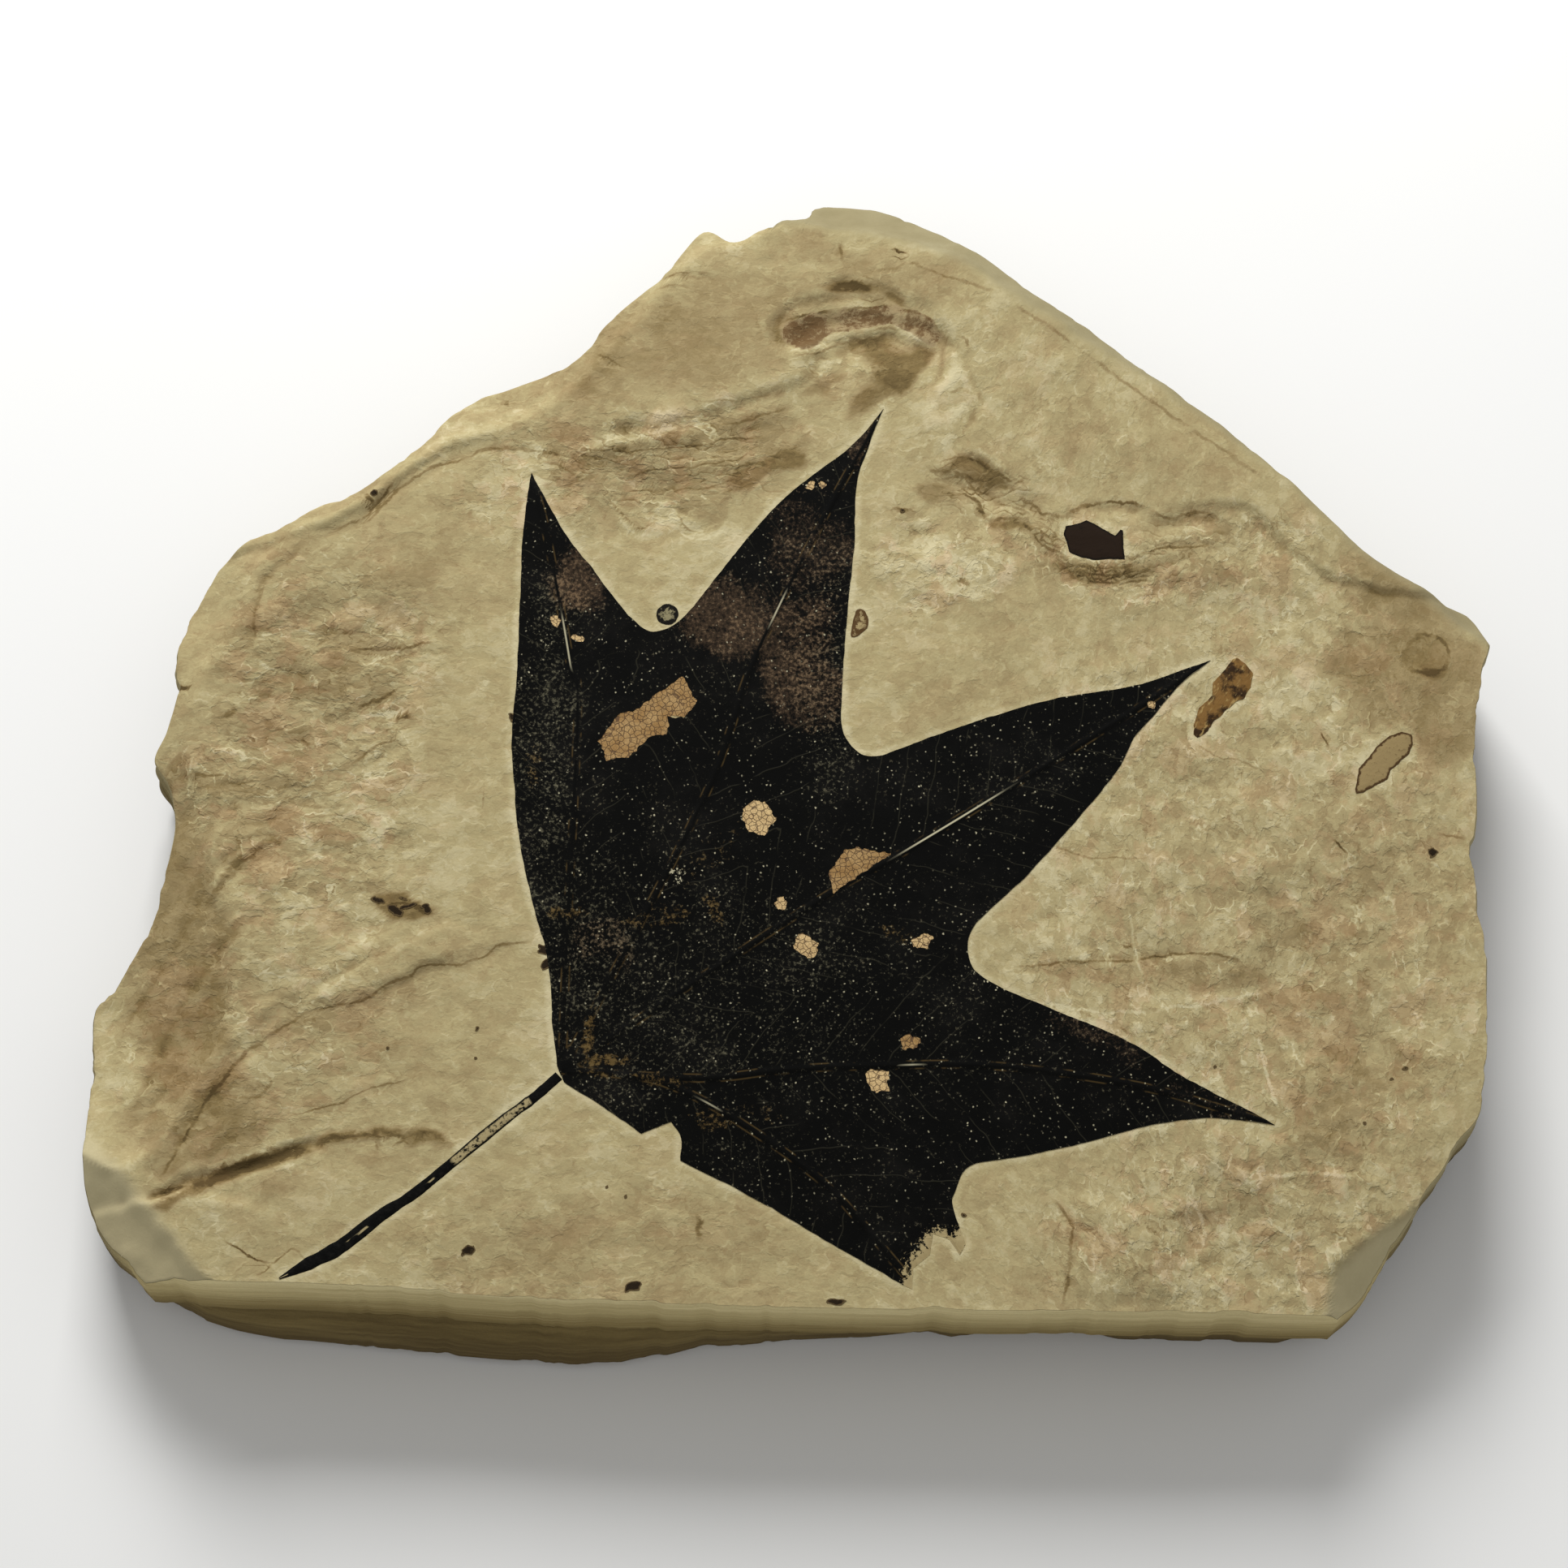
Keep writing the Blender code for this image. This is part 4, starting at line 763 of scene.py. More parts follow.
def strokes(points, lines):
    """The distance to the nearest line as a share of its half width, with its sign, and how dark that line
    is there. The sign lets a line thinner than the mesh stay sharp."""
    nearest, gap, ink = np.full(len(points), NO_LINE), np.full(len(points), NO_LINE), np.zeros(len(points))
    for dark, half_width, line in lines:
        low, high = np.min(line, axis=0) - LINE_REACH, np.max(line, axis=0) + LINE_REACH
        around = np.flatnonzero(((points > low) & (points < high)).all(axis=1))
        path = curve(line)
        left, run = along_path(points[around], path)
        total = distances(path)[-1]
        closer = np.abs(left) < nearest[around]
        around, left, run = around[closer], left[closer], run[closer]
        nearest[around], gap[around] = np.abs(left), left / half_width
        taper = ease((np.minimum(run, total - run) + 0.2) / min(LINE_END, LONGEST_TAPER * total))
        ink[around] = dark * taper * ease(INK_REACH - np.abs(left))
    return gap, ink


def areas(points, outlines, edge):
    """The strongest of some closed curves at each point: 1 inside, eased to 0 over the edge."""
    return np.max([strength * ease(0.5 + left_of(points, loop(outline)) / edge)
                   for outline, strength in outlines], axis=0)


def broad_relief(points):
    """A low swell with the ledges and hollows of the solids: each rises or sinks by an eased step."""
    height = SWELL_RISE * np.sin(points @ (1 / np.array(SWELL_WAVES))).sum(axis=1)
    for edge, rise, width in LEDGES:
        height += rise * ease(left_of(points, curve(edge)) / width)
    for edge, depth, width in HOLLOWS:
        height -= depth * ease(left_of(points, loop(edge)) / width)
    return height


def soft_masks(points, table):
    """The masks of a table of patches, each read at places made ragged by its own noise."""
    return {name: patches(ragged(points, *noise), spots) for name, (noise, spots) in table.items()}


def top_height(points, strength):
    """Height of the top face and its masks: the ground, plus ledges, hollows and a low swell away from the
    films, plus flaked layers, scarps and folds nearer to them, less the fall at the roll-offs."""
    near = film_distance(points)
    fall, worn = roll_off(points)
    masks = soft_masks(points, GROUND)
    flaky = masks["flaky"] = np.maximum(masks["flaky"], LEAST_FLAKY) * (1 - worn)
    masks["laminated"] *= 1 - worn

    treads = terraces(ragged(points, 8, 2.0, 90), (17, 11), 2.5, 30)
    roughness = (1 - worn) * fractal(points, 7, 40, 3)
    fibres = fractal(points @ turned(FIBRE_TURN), (34, 4.5), 45, 3)
    fibrous = ease(1 - (points[:, 0] + 146) / 26) * ease((40 - points[:, 1]) / 60)
    fine = TREAD_RISE * flaky * treads + ROUGH_RISE * roughness + FIBRE_RISE * fibrous * fibres
    loose, crease = ragged(points, 5, 0.7, 95), np.zeros(len(points))
    chipped = ragged(loose, 2.6, 0.5, 97)
    for edge, lift, drop, reach in SCARPS:
        fine += scarp(chipped, edge, lift, drop, reach)
    for line, rise, half_width in FOLDS:
        left, ends = tapered(loose, line)
        fold = rise * ends * ease(1 - np.abs(left) / half_width)
        fine += fold
        # The furrow's depth, which the stone's colour darkens as painted shade
        crease = np.maximum(crease, -fold)

    far, close = (ease((near - start) / width) for start, width in (BROAD_START, FINE_START))
    broad = broad_relief(ragged(points, 14, 1.6, 70))
    height = ground(points) + broad * far + strength * fine * close - fall
    # The stains take in the outlined areas, painted shadows among them
    outlined = areas(ragged(points, 4, 0.8, 66), STAIN_AND_SHADOW_AREAS, 2)
    masks["stain"] = np.maximum(masks["stain"], outlined)
    masks["red"] = np.minimum(masks["red"], areas(chipped, [(CRESCENT, 2)], 1.5)) + masks.pop("pink")
    masks["stroke"], masks["ink"] = strokes(ragged(points, 4, 0.5, 67), LINES)
    film = np.minimum(near, FAR_FROM_FILM)
    return height, {**masks, "worn": worn, "crease": crease, "film": film, "fall": fall}


def blurred(grid, reach):
    """Each cell of the grid averaged over the square of cells within reach, by sums along each axis."""
    for axis in (0, 1):
        padded = np.pad(grid, [(reach + 1, reach) if a == axis else (0, 0) for a in (0, 1)], mode="edge")
        total = np.cumsum(padded, axis=axis)
        ahead = np.take(total, range(2 * reach + 1, total.shape[axis]), axis=axis)
        behind = np.take(total, range(total.shape[axis] - 2 * reach - 1), axis=axis)
        grid = (ahead - behind) / (2 * reach + 1)
    return grid


def quads(*corners):
    """Rows of four corners, from an array of each corner."""
    return np.stack(corners, axis=-1).reshape(-1, 4)


def rim_order(columns, rows):
    """Grid indices of the top's outer points, anticlockwise."""
    grid = np.arange(columns * rows).reshape(rows, columns)
    return np.concatenate([grid[0, :-1], grid[:-1, -1], grid[-1, :0:-1], grid[:0:-1, 0]])


def side_rings(rim_plan, rim_height):
    """Rings of points down the sides, and how far each point is on the front. Each ring stands out past the
    top edge by its layer's reach, thin bedding noise, a swell that shifts from layer to layer, and on the
    front its share of the foot."""
    outward = -to_the_left(np.roll(rim_plan, -RIM_LOOK, axis=0) - np.roll(rim_plan, RIM_LOOK, axis=0))
    run = np.cumsum(np.hypot(*(rim_plan - np.roll(rim_plan, 1, axis=0)).T))
    front = ease((FRONT_SIDE[0][1] + FRONT_DEPTH - rim_plan[:, 1]) / FRONT_DEPTH)
    shares, layers, feet = np.array(STRATA).T
    foot_line = np.interp(rim_plan[:, 0], *zip(*FRONT_FOOT))
    rings = []
    for down in RING_SHARES:
        swell = SIDE_SWELL * down * np.sin(rim_plan / (11, 8) + np.array((17, -23)) * down).sum(axis=1)
        bed = np.column_stack([run / BED_LENGTH, 0 * run + down * LEAF_PLANE / BED_THICKNESS])
        bedding = BED_REACH * fractal(bed, 1, 11, 3) - BED_INSET
        reach = np.interp(down, shares, layers) + np.interp(down, shares, feet) * front * foot_line
        reach += (1 - front) * swell + bedding * ease(down * 20) * (1 - 0.6 * front)
        rings.append(metres(rim_plan + outward * reach[:, None], rim_height * (1 - down)))
    return rings, front


def slab_mesh(columns, rows, strength):
    """The top's grid, the rings of the sides and one face below, with the masks as point attributes."""
    plan = top_plan(columns, rows)
    height, masks = top_height(plan, strength)
    relief = (height + masks.pop("fall")).reshape(rows, columns)
    # How far each point stands above or below its surroundings: the stone's colour takes it as painted
    # highlight on ridges and painted shade in hollows
    masks["cavity"] = (relief - blurred(relief, 2)).ravel()
    rim, top_count = rim_order(columns, rows), columns * rows
    rings, front = side_rings(plan[rim], height[rim])
    ring_count = len(rim) * len(rings)

    top = np.arange(top_count).reshape(rows, columns)
    side = np.vstack([rim, top_count + np.arange(ring_count).reshape(-1, len(rim))])
    ahead = np.roll(side, -1, axis=1)
    faces = np.vstack([quads(top[:-1, :-1], top[:-1, 1:], top[1:, 1:], top[1:, :-1]),
                       quads(side[:-1], side[1:], ahead[1:], ahead[:-1])]).tolist()
    underside = side[-1, ::-1].tolist()

    masks = {name: np.concatenate([mask, np.tile(mask[rim], len(rings))]) for name, mask in masks.items()}
    masks["cavity"][top_count:] = 0
    masks["side"] = np.repeat([0.0, 1.0], [top_count, ring_count])
    masks["front"] = np.concatenate([np.zeros(top_count), np.tile(front, len(rings))])
    places = np.clip(np.vstack([metres(plan, height), *rings]), CAD_LOW, CAD_HIGH)
    return places, faces + [underside], masks


# Films: the gap between their grid's rows and from an edge to the grid, both as shares of the spacing, the
# gaps under which points merge and a ring's corner is skipped, and how far the lower face is over the ground
ROW_GAP, EDGE_GAP, MERGE_GAP, CORNER_GAP, FILM_CLEARANCE = 0.866, 0.6, 1e-4, 0.15, 0.02
# The stem's strip: the share by which its width is uneven, and its clearance over the ground
UNEVEN_WIDTH, STRIP_CLEARANCE = 0.14, 0.03
# How far the tissue reaches under the blade past its window, and its height and the specks' over the stone
TISSUE_OVERLAP, TISSUE_RISE, SPECK_RISE = 0.7, 0.07, 0.12


def inside(points, ring):
    """Whether each point is inside the ring: an odd number of its sides lie to the point's right."""
    x, y = points.T
    odd = np.zeros(len(points), bool)
    for (x0, y0), (x1, y1) in zip(ring, np.roll(ring, -1, axis=0)):
        if y0 != y1:
            odd ^= ((y0 > y) != (y1 > y)) & (x < (x1 - x0) * (y - y0) / (y1 - y0) + x0)
    return odd


def in_film(points, outline, holes):
    """Whether each point is inside the outline and outside every hole."""
    return inside(points, outline) & ~np.any([inside(points, hole) for hole in holes] or False, axis=0)


def film_triangles(outline, holes, lines, spacing):
    """A staggered grid of points inside the outline, with the outline, holes and lines as fixed edges,
    joined by Delaunay triangles. A film with holes isn't a function of two parameters, so it is made so."""
    low, high = outline.min(axis=0), outline.max(axis=0)
    row_gap = spacing * ROW_GAP
    x, y = np.meshgrid(np.arange(low[0], high[0], spacing), np.arange(low[1], high[1], row_gap))
    x[::2] += spacing / 2
    grid = np.stack([x.ravel(), y.ravel()], axis=1)
    grid = grid[in_film(grid, outline, holes)]
    rings = [outline, *holes]
    for line in [closed(ring) for ring in rings] + lines:
        grid = grid[np.abs(left_of(grid, line)) > EDGE_GAP * spacing]

    places, edges, first = [grid], [], len(grid)
    for line, ends in [(ring, 1) for ring in rings] + [(line, 0) for line in lines]:
        index = (first + np.arange(len(line))).tolist()
        edges += zip(index, index[1:] + index[:ends])
        places.append(line)
        first += len(line)
    points, _, faces = delaunay_2d_cdt(np.vstack(places).tolist(), edges, [], 0, MERGE_GAP)[:3]
    points, faces = np.array([tuple(p) for p in points]), np.array(faces)
    faces = faces[in_film(points[faces].mean(axis=1), outline, holes)]
    used, faces = np.unique(faces, return_inverse=True)
    faces = faces.reshape(-1, 3)
    a, b, c = (points[used][faces[:, k]] for k in range(3))
    turn = np.cross(b - a, c - a)
    faces[turn < 0] = faces[turn < 0, ::-1]
    return points[used], faces[turn != 0]


def film_mesh(outline, holes, lines, spacing, rise):
    """The triangles twice, as a film's upper and lower face, with a rim round every open edge. rise gives
    the height of the upper face over the ground at each point. The plan of one face is given back too."""
    plan, faces = film_triangles(outline, holes, lines, spacing)
    floor = ground(plan)
    count = len(plan)
    places = np.vstack([metres(plan, floor + rise(plan)), metres(plan, floor + FILM_CLEARANCE)])
    edges = np.concatenate([faces[:, [0, 1]], faces[:, [1, 2]], faces[:, [2, 0]]])
    key = np.sort(edges, axis=1) @ (count, 1)
    _, first, times = np.unique(key, return_index=True, return_counts=True)
    open_edges = edges[first[times == 1]]
    rim = np.column_stack([open_edges[:, ::-1], open_edges + count])
    return places, faces.tolist() + (faces[:, ::-1] + count).tolist() + rim.tolist(), plan


def wobbled(ring, spacing, reach, size, seed):
    """The ring in steps of about the spacing, pushed about by noise of this reach and size."""
    path = closed(np.asarray(ring, float))
    run = distances(path)
    fine = np.linspace(0, run[-1], max(8, int(run[-1] / spacing)), endpoint=False)
    corners = np.unique(np.concatenate([fine, run[:-1]]))
    corners = corners[np.concatenate([[True], np.diff(corners) > CORNER_GAP])]
    return ragged(places_on(path, corners), size, reach, seed)


def carried_profile(line, width, height, profile, edge_seed):
    """A half-round profile carried along a line in the plan: across = cos t, up = sin t, closed below and at
    both ends, its width uneven by noise. Gives the places, faces, and the distance along and share across of
    each point."""
    turn = np.linspace(0, np.pi, profile)
    across = np.cos(turn)[None, :] * np.ones((len(line), 1))
    spots = np.column_stack([np.arange(len(line)) * 0.4, 0 * width])
    edge = 1 + UNEVEN_WIDTH * fractal(spots, 2.2, edge_seed)
    aside = across * (edge * width)[:, None] / 2
    plan = line[:, None] + to_the_left(np.gradient(line, axis=0))[:, None] * aside[..., None]
    up = height * np.sin(turn)[None, :] + STRIP_CLEARANCE
    flat = plan.reshape(-1, 2)
    level = ground(flat) + up.repeat(len(line), axis=0).ravel()
    index = np.arange(len(line) * profile).reshape(len(line), profile)
    ring = np.roll(index, -1, axis=1)
    faces = quads(index[:-1], ring[:-1], ring[1:], index[1:]).tolist()
    faces += [index[0][::-1].tolist(), index[-1].tolist()]
    return metres(flat, level), faces, {"along": distances(line).repeat(profile), "across": across.ravel()}


def add_piece(name, places, faces, material, masks=(), stands_for=(), sharp=50):
    """Puts the places, faces and point masks into a mesh at the origin, and hands it to the frame."""
    mesh = bpy.data.meshes.new(name)
    mesh.from_pydata(places, [], faces)
    mesh.shade_smooth()
    mesh.set_sharp_from_angle(angle=math.radians(sharp))
    for label, mask in dict(masks).items():
        mesh.attributes.new(label, "FLOAT", "POINT").data.foreach_set("value", np.asarray(mask, np.float32))
    mesh.materials.append(material)
    piece = bpy.data.objects.new(name, mesh)
    bpy.context.scene.collection.objects.link(piece)
    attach(piece, "root")
    if stands_for:
        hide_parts(*stands_for)
    return piece


# Finishes


class Wire:
    """One output of a material's nodes. Arithmetic on it adds Math nodes, and add() any other node."""

    def __init__(self, tree, socket=None):
        self.tree, self.socket = tree, socket

    def add(self, kind, settings=None, values=None, output=0):
        node = self.tree.nodes.new("ShaderNode" + kind)
        for key, value in (settings or {}).items():
            if key == "stops":
                while len(node.color_ramp.elements) < len(value):
                    node.color_ramp.elements.new(1)
                for element, (place, colour) in zip(node.color_ramp.elements, value):
                    element.position, element.color = place, (*colour, 1)
            else:
                setattr(node, key, value)
        for key, value in (values or {}).items():
            if isinstance(value, Wire):
                self.tree.links.new(value.socket, node.inputs[key])
            else:
                node.inputs[key].default_value = value
        return Wire(self.tree, node.outputs[output])

    def maths(self, operation, *others):
        return self.add("Math", {"operation": operation}, dict(enumerate((self, *others))))

    def __add__(self, other):
        return self.maths("ADD", other)

    def __sub__(self, other):
        return self.maths("SUBTRACT", other)

    def __rsub__(self, other):
        return self.add("Math", {"operation": "SUBTRACT"}, {0: other, 1: self})

    def __mul__(self, other):
        return self.maths("MULTIPLY", other)

    def __truediv__(self, other):
        return self.maths("DIVIDE", other)

    __radd__, __rmul__ = __add__, __mul__

    def size(self):
        return self.maths("ABSOLUTE")

    def most(self, other):
        return self.maths("MAXIMUM", other)

    def least(self, other):
        return self.maths("MINIMUM", other)

    def band(self, start, end):
        """0 at start, 1 at end, eased between."""
        return self.add("MapRange", {"interpolation_type": "SMOOTHSTEP"},
                        {"Value": self, "From Min": start, "From Max": end})

    def steps(self, count):
        """This number times the count, cut into its whole part and the rest."""
        rise = self * count
        whole = rise.maths("FLOOR")
        return whole, rise - whole

    def shuffled(self):
        """A random number from 0 to 1 for each whole number."""
        return self.add("TexWhiteNoise", {"noise_dimensions": "1D"}, {"W": self * 0.37 + 5.0})

    def ramp(self, stops):
        """The colour at this number on a ramp of numbers and colours, the last number taken as full."""
        full = stops[-1][0]
        return self.add("ValToRGB", {"stops": [(at / full, colour) for at, colour in stops]},
                        {"Fac": self / full})

    def mix(self, low, high):
        """The first colour where this is 0, the second where it is 1."""
        values = {0: self, 6: as_colour(low), 7: as_colour(high)}
        return self.add("Mix", {"data_type": "RGBA", "clamp_factor": True}, values, 2)

    def scale(self, factor):
        """A vector or colour times a number."""
        return self.add("VectorMath", {"operation": "SCALE"}, {0: self, "Scale": factor})

    def shift(self, other):
        """A vector plus a vector."""
        return self.add("VectorMath", {"operation": "ADD"}, {0: self, 1: other})

    def stretch(self, other):
        """A vector times a vector, axis by axis."""
        return self.add("VectorMath", {"operation": "MULTIPLY"}, {0: self, 1: other})

    def axes(self):
        split = self.add("SeparateXYZ", None, {0: self})
        return [Wire(self.tree, output) for output in split.socket.node.outputs]

    def noise(self, size, detail=4.0, roughness=0.55, output=0):
        """Fractal noise at this place, its largest lumps of this size in millimetres."""
        values = {"Vector": self, "Scale": 1 / size, "Detail": detail, "Roughness": roughness}
        return self.add("TexNoise", None, values, output)

    def cells(self, size, feature="F1"):
        """Random cells of about this size in millimetres."""
        return self.add("TexVoronoi", {"feature": feature}, {"Vector": self, "Scale": 1 / size})

    def pushed(self, size, reach):
        """This place pushed about by noise."""
        return self.shift(self.noise(size, 2.0, output=1).shift((-0.5, -0.5, -0.5)).scale(2 * reach))

    def masks(self, names):
        """The mesh's point masks of these names, which are given in one text."""
        return [self.add("Attribute", {"attribute_name": name}, None, 2) for name in names.split()]


def as_colour(value):
    """A plain colour with its fourth number, or the wire as it is."""
    return value if isinstance(value, Wire) else (*value, 1)


def new_material(name):
    """A material with its node tree, and the place in plan millimetres that its patterns read."""
    material = bpy.data.materials.new(name)
    material.use_nodes = True
    tree = material.node_tree
    place = Wire(tree).add("TexCoord", None, None, 3).scale(1000).shift((*PLAN_MIDDLE, 0))
    return material, place


def finish(material, colour, roughness, bump=None, depth=0.3, specular=0.3):
    """Feeds the shader: colour, roughness, and height in millimetres through a Bump node."""
    shader = material.node_tree.nodes["Principled BSDF"]
    shader.inputs["Specular IOR Level"].default_value = specular
    values = {"Base Color": colour, "Roughness": roughness}
    if bump:
        values["Normal"] = bump.add("Bump", None, {"Distance": depth * MM, "Height": bump})
    for key, value in values.items():
        if isinstance(value, Wire):
            material.node_tree.links.new(value.socket, shader.inputs[key])
        else:
            shader.inputs[key].default_value = (*value, 1) if key == "Base Color" else value
    return material


# Crisp blotches of the stone: their size, and how much they change its tone where it is smooth and flaky
BLOTCHES = [(11, 0.06, 0.09), (6, 0.055, 0.11), (3.4, 0.045, 0.1), (1.9, 0.025, 0.06)]
# The tone of fresh stone, and how much each thing lightens it where it is at its strongest
FRESH_TONE = 0.86
# ridge is painted highlight, hollow and crease are painted shade, and the two stain tones carry painted
# shadows under ledges as well as stains
TONES = {"clouds": 0.35, "dull": -0.2, "stained_and_shaded": -0.16, "deep_stain_and_shadow": -0.42, "paled": 0.14, "ridge": 0.12,
         "hollow": -0.3, "crease": -0.3, "grain": 0.14, "near_film": 0.14}
BLUSH = (1.03, 0.875, 0.88)


def stone_material(s):
    """Cream stone in flaked layers. Noise is cut into treads of two sizes, each tread with its own tone, and
    the larger ones with a broken pale lip, partly painted highlight, and a dark foot of painted shade. All
    tones add to one number that runs through a ramp from crevice brown to pale, painted shade and painted
    highlight from the relief among them. Bevels are worn grey, the front ones painted paler, and the sides
    are thin level beds, darker lower down, partly their own colour and partly painted shade, with the front
    side painted lighter."""
    material, place = new_material("flaked lake stone")
    x, y, z = place.axes()
    side, front, flaky, worn, stain, pale, red = place.masks("side front flaky worn stain pale red")
    cavity, crease, dull, laminated = place.masks("cavity crease dull laminated")
    stroke, ink, film = place.masks("stroke ink film")

    wide = x.band(0, 110).mix(place.stretch((0.76, 1, 1)), place.stretch((1, 0.84, 1)))
    loose = wide.pushed(5, 1.3).pushed(1.4, 0.4)
    grain, clouds = place.noise(0.6, 2.0, 0.5), place.noise(38, 3.0, 0.5)
    tread, part = loose.noise(14, 4.0, 0.5).steps(11)
    tone, mottle = tread.shuffled(), loose.noise(7, 5.0, 0.6)
    # The lip is a broken pale edge, partly painted highlight; the foot is painted shade at each step
    lip = part.band(0.72, 0.86) * part.band(1.0, 0.93) * loose.noise(6, 3.0, 0.6).band(0.52, 0.6)
    foot = part.band(0.15, 0.03) * loose.shift((9, 30, 0)).noise(6, 3.0, 0.6).band(0.5, 0.6)

    # The flakes' tone, less where the stone is worn smooth
    value = (tone - 0.5) * (flaky * 0.1 + 0.05) + lip * (flaky * 0.2 + 0.06) - foot * (flaky * 0.18 + 0.05)
    blotches = 0.0
    for k, (size, on_smooth, on_flaky) in enumerate(BLOTCHES):
        blotch = loose.shift((0, 0, 40 * k + 40)).noise(size, 4.0, 0.6).band(0.485, 0.525)
        value = value + (blotch - 0.5) * (flaky * (on_flaky - on_smooth) + on_smooth)
        blotches = blotch * size + blotches
    rough = 1 - worn * 0.75
    value = value * rough + FRESH_TONE

    # What lightens and darkens it, with painted highlight on ridges and painted shade in hollows, creases
    # and the outlined shadows
    ragged_edge = (mottle - 0.5) * 2.2 + (tone - 0.5) * 0.35
    strengths = {
        "clouds": clouds - 0.5, "grain": grain - 0.5, "dull": dull, "crease": crease,
        "stained_and_shaded": (stain + ragged_edge).band(0.25, 0.9), "deep_stain_and_shadow": (stain + ragged_edge * 0.3).band(0.9, 1.9),
        "paled": (pale + ragged_edge).band(0.4, 0.9), "near_film": film.band(2.2, 0.6),
        "ridge": cavity.band(0.05, 0.4), "hollow": cavity.band(-0.05, -0.5),
    }
    for name, strength in strengths.items():
        value = value + strength * TONES[name]
    layer = (y * 0.3 + loose.noise(24, 4.0, 0.55) * 8).steps(1)[1]
    broken = loose.shift((3, 60, 0)).noise(7, 4.0, 0.6).band(0.44, 0.56)
    value = value + (layer.band(0.7, 0.95) * 0.1 - layer.band(0.3, 0.04) * broken * 0.3) * laminated
    # Lines: cracks and stains, pale lips partly painted highlight, and painted shadows under scarps and
    # ledges
    mark = (stroke + (loose.noise(2.2, 3.0, 0.65) - 0.5) * 4).size().band(1.2, 0.3)
    gaps = (loose.shift((5, 0, 7)).noise(6, 4.0, 0.6) * 4.5 - 1.2).band(0, 1.4)
    value = value - mark * ink * gaps * 1.3

    # Its colour, the blush and reddened patches, and the bevels
    colour = value.ramp([(0.0, s.shade), (0.36, s.stain), (0.66, s.brown), (0.86, s.cream), (1.1, s.pale)])
    blush = loose.shift((0, 50, 0)).noise(9, 5.0, 0.62).band(0.5, 0.58) * (flaky * 0.55 + 0.05) * rough
    colour = blush.mix(colour, colour.stretch(BLUSH))
    bevel = (mottle * 1.6 - 0.3).mix(s.worn_dark, s.worn)
    # The front bevels are painted paler: painted light where they face away from the key light
    back = y.band(-40, 40)
    colour = (worn * (back * 0.2 + 0.6)).mix(colour, back.mix(s.front_bevel_painted_light, bevel))
    reddened = (red + ragged_edge * 0.7).band(0.3, 0.7)
    flecks = (loose.shift((0, 0, 9)).noise(2.4, 5.0, 0.8) - (red - 0.7) * 0.35).band(0.4, 0.56)
    colour = (reddened * 0.9).mix(colour, flecks.mix(s.red, s.pink))

    # The sides: depth is 1 at the top. They darken lower down, partly the beds' own colour and partly
    # painted shade.
    beds = place.pushed(40, 0.9).stretch((0.03, 0.03, 1.0)).noise(2.6, 4.0, 0.6)
    streaks = place.pushed(14, 0.3).stretch((0.05, 0.05, 1.5)).noise(1.0, 4.0, 0.65)
    depth = (z + (beds - 0.5) * 14 + (streaks - 0.5) * 16) / 37
    layers = depth.ramp([(0.12, s.side_dark), (0.45, s.side_brown), (0.75, s.side_mid), (1.0, s.side_pale)])
    # The front side is painted up to 1.85 times lighter: painted fill light where it faces away from the key
    # light
    colour = side.mix(colour, layers.scale((0.92 + grain * 0.16) * (front * 0.85 + 1.0)))

    treads = (tread + part.band(0.7, 1.0)) * (flaky * 0.055 + 0.015)
    chips = blotches * (flaky * 0.008 + 0.003)
    top_bump = (treads + chips + mottle * 0.45 + layer * laminated * 0.25) * rough + grain * 0.03
    side_bump = beds * 0.5 + streaks * 0.3 + grain * 0.12
    return finish(material, colour, 0.92, top_bump * (1 - side) + side_bump * side, 1.0, 0.15)


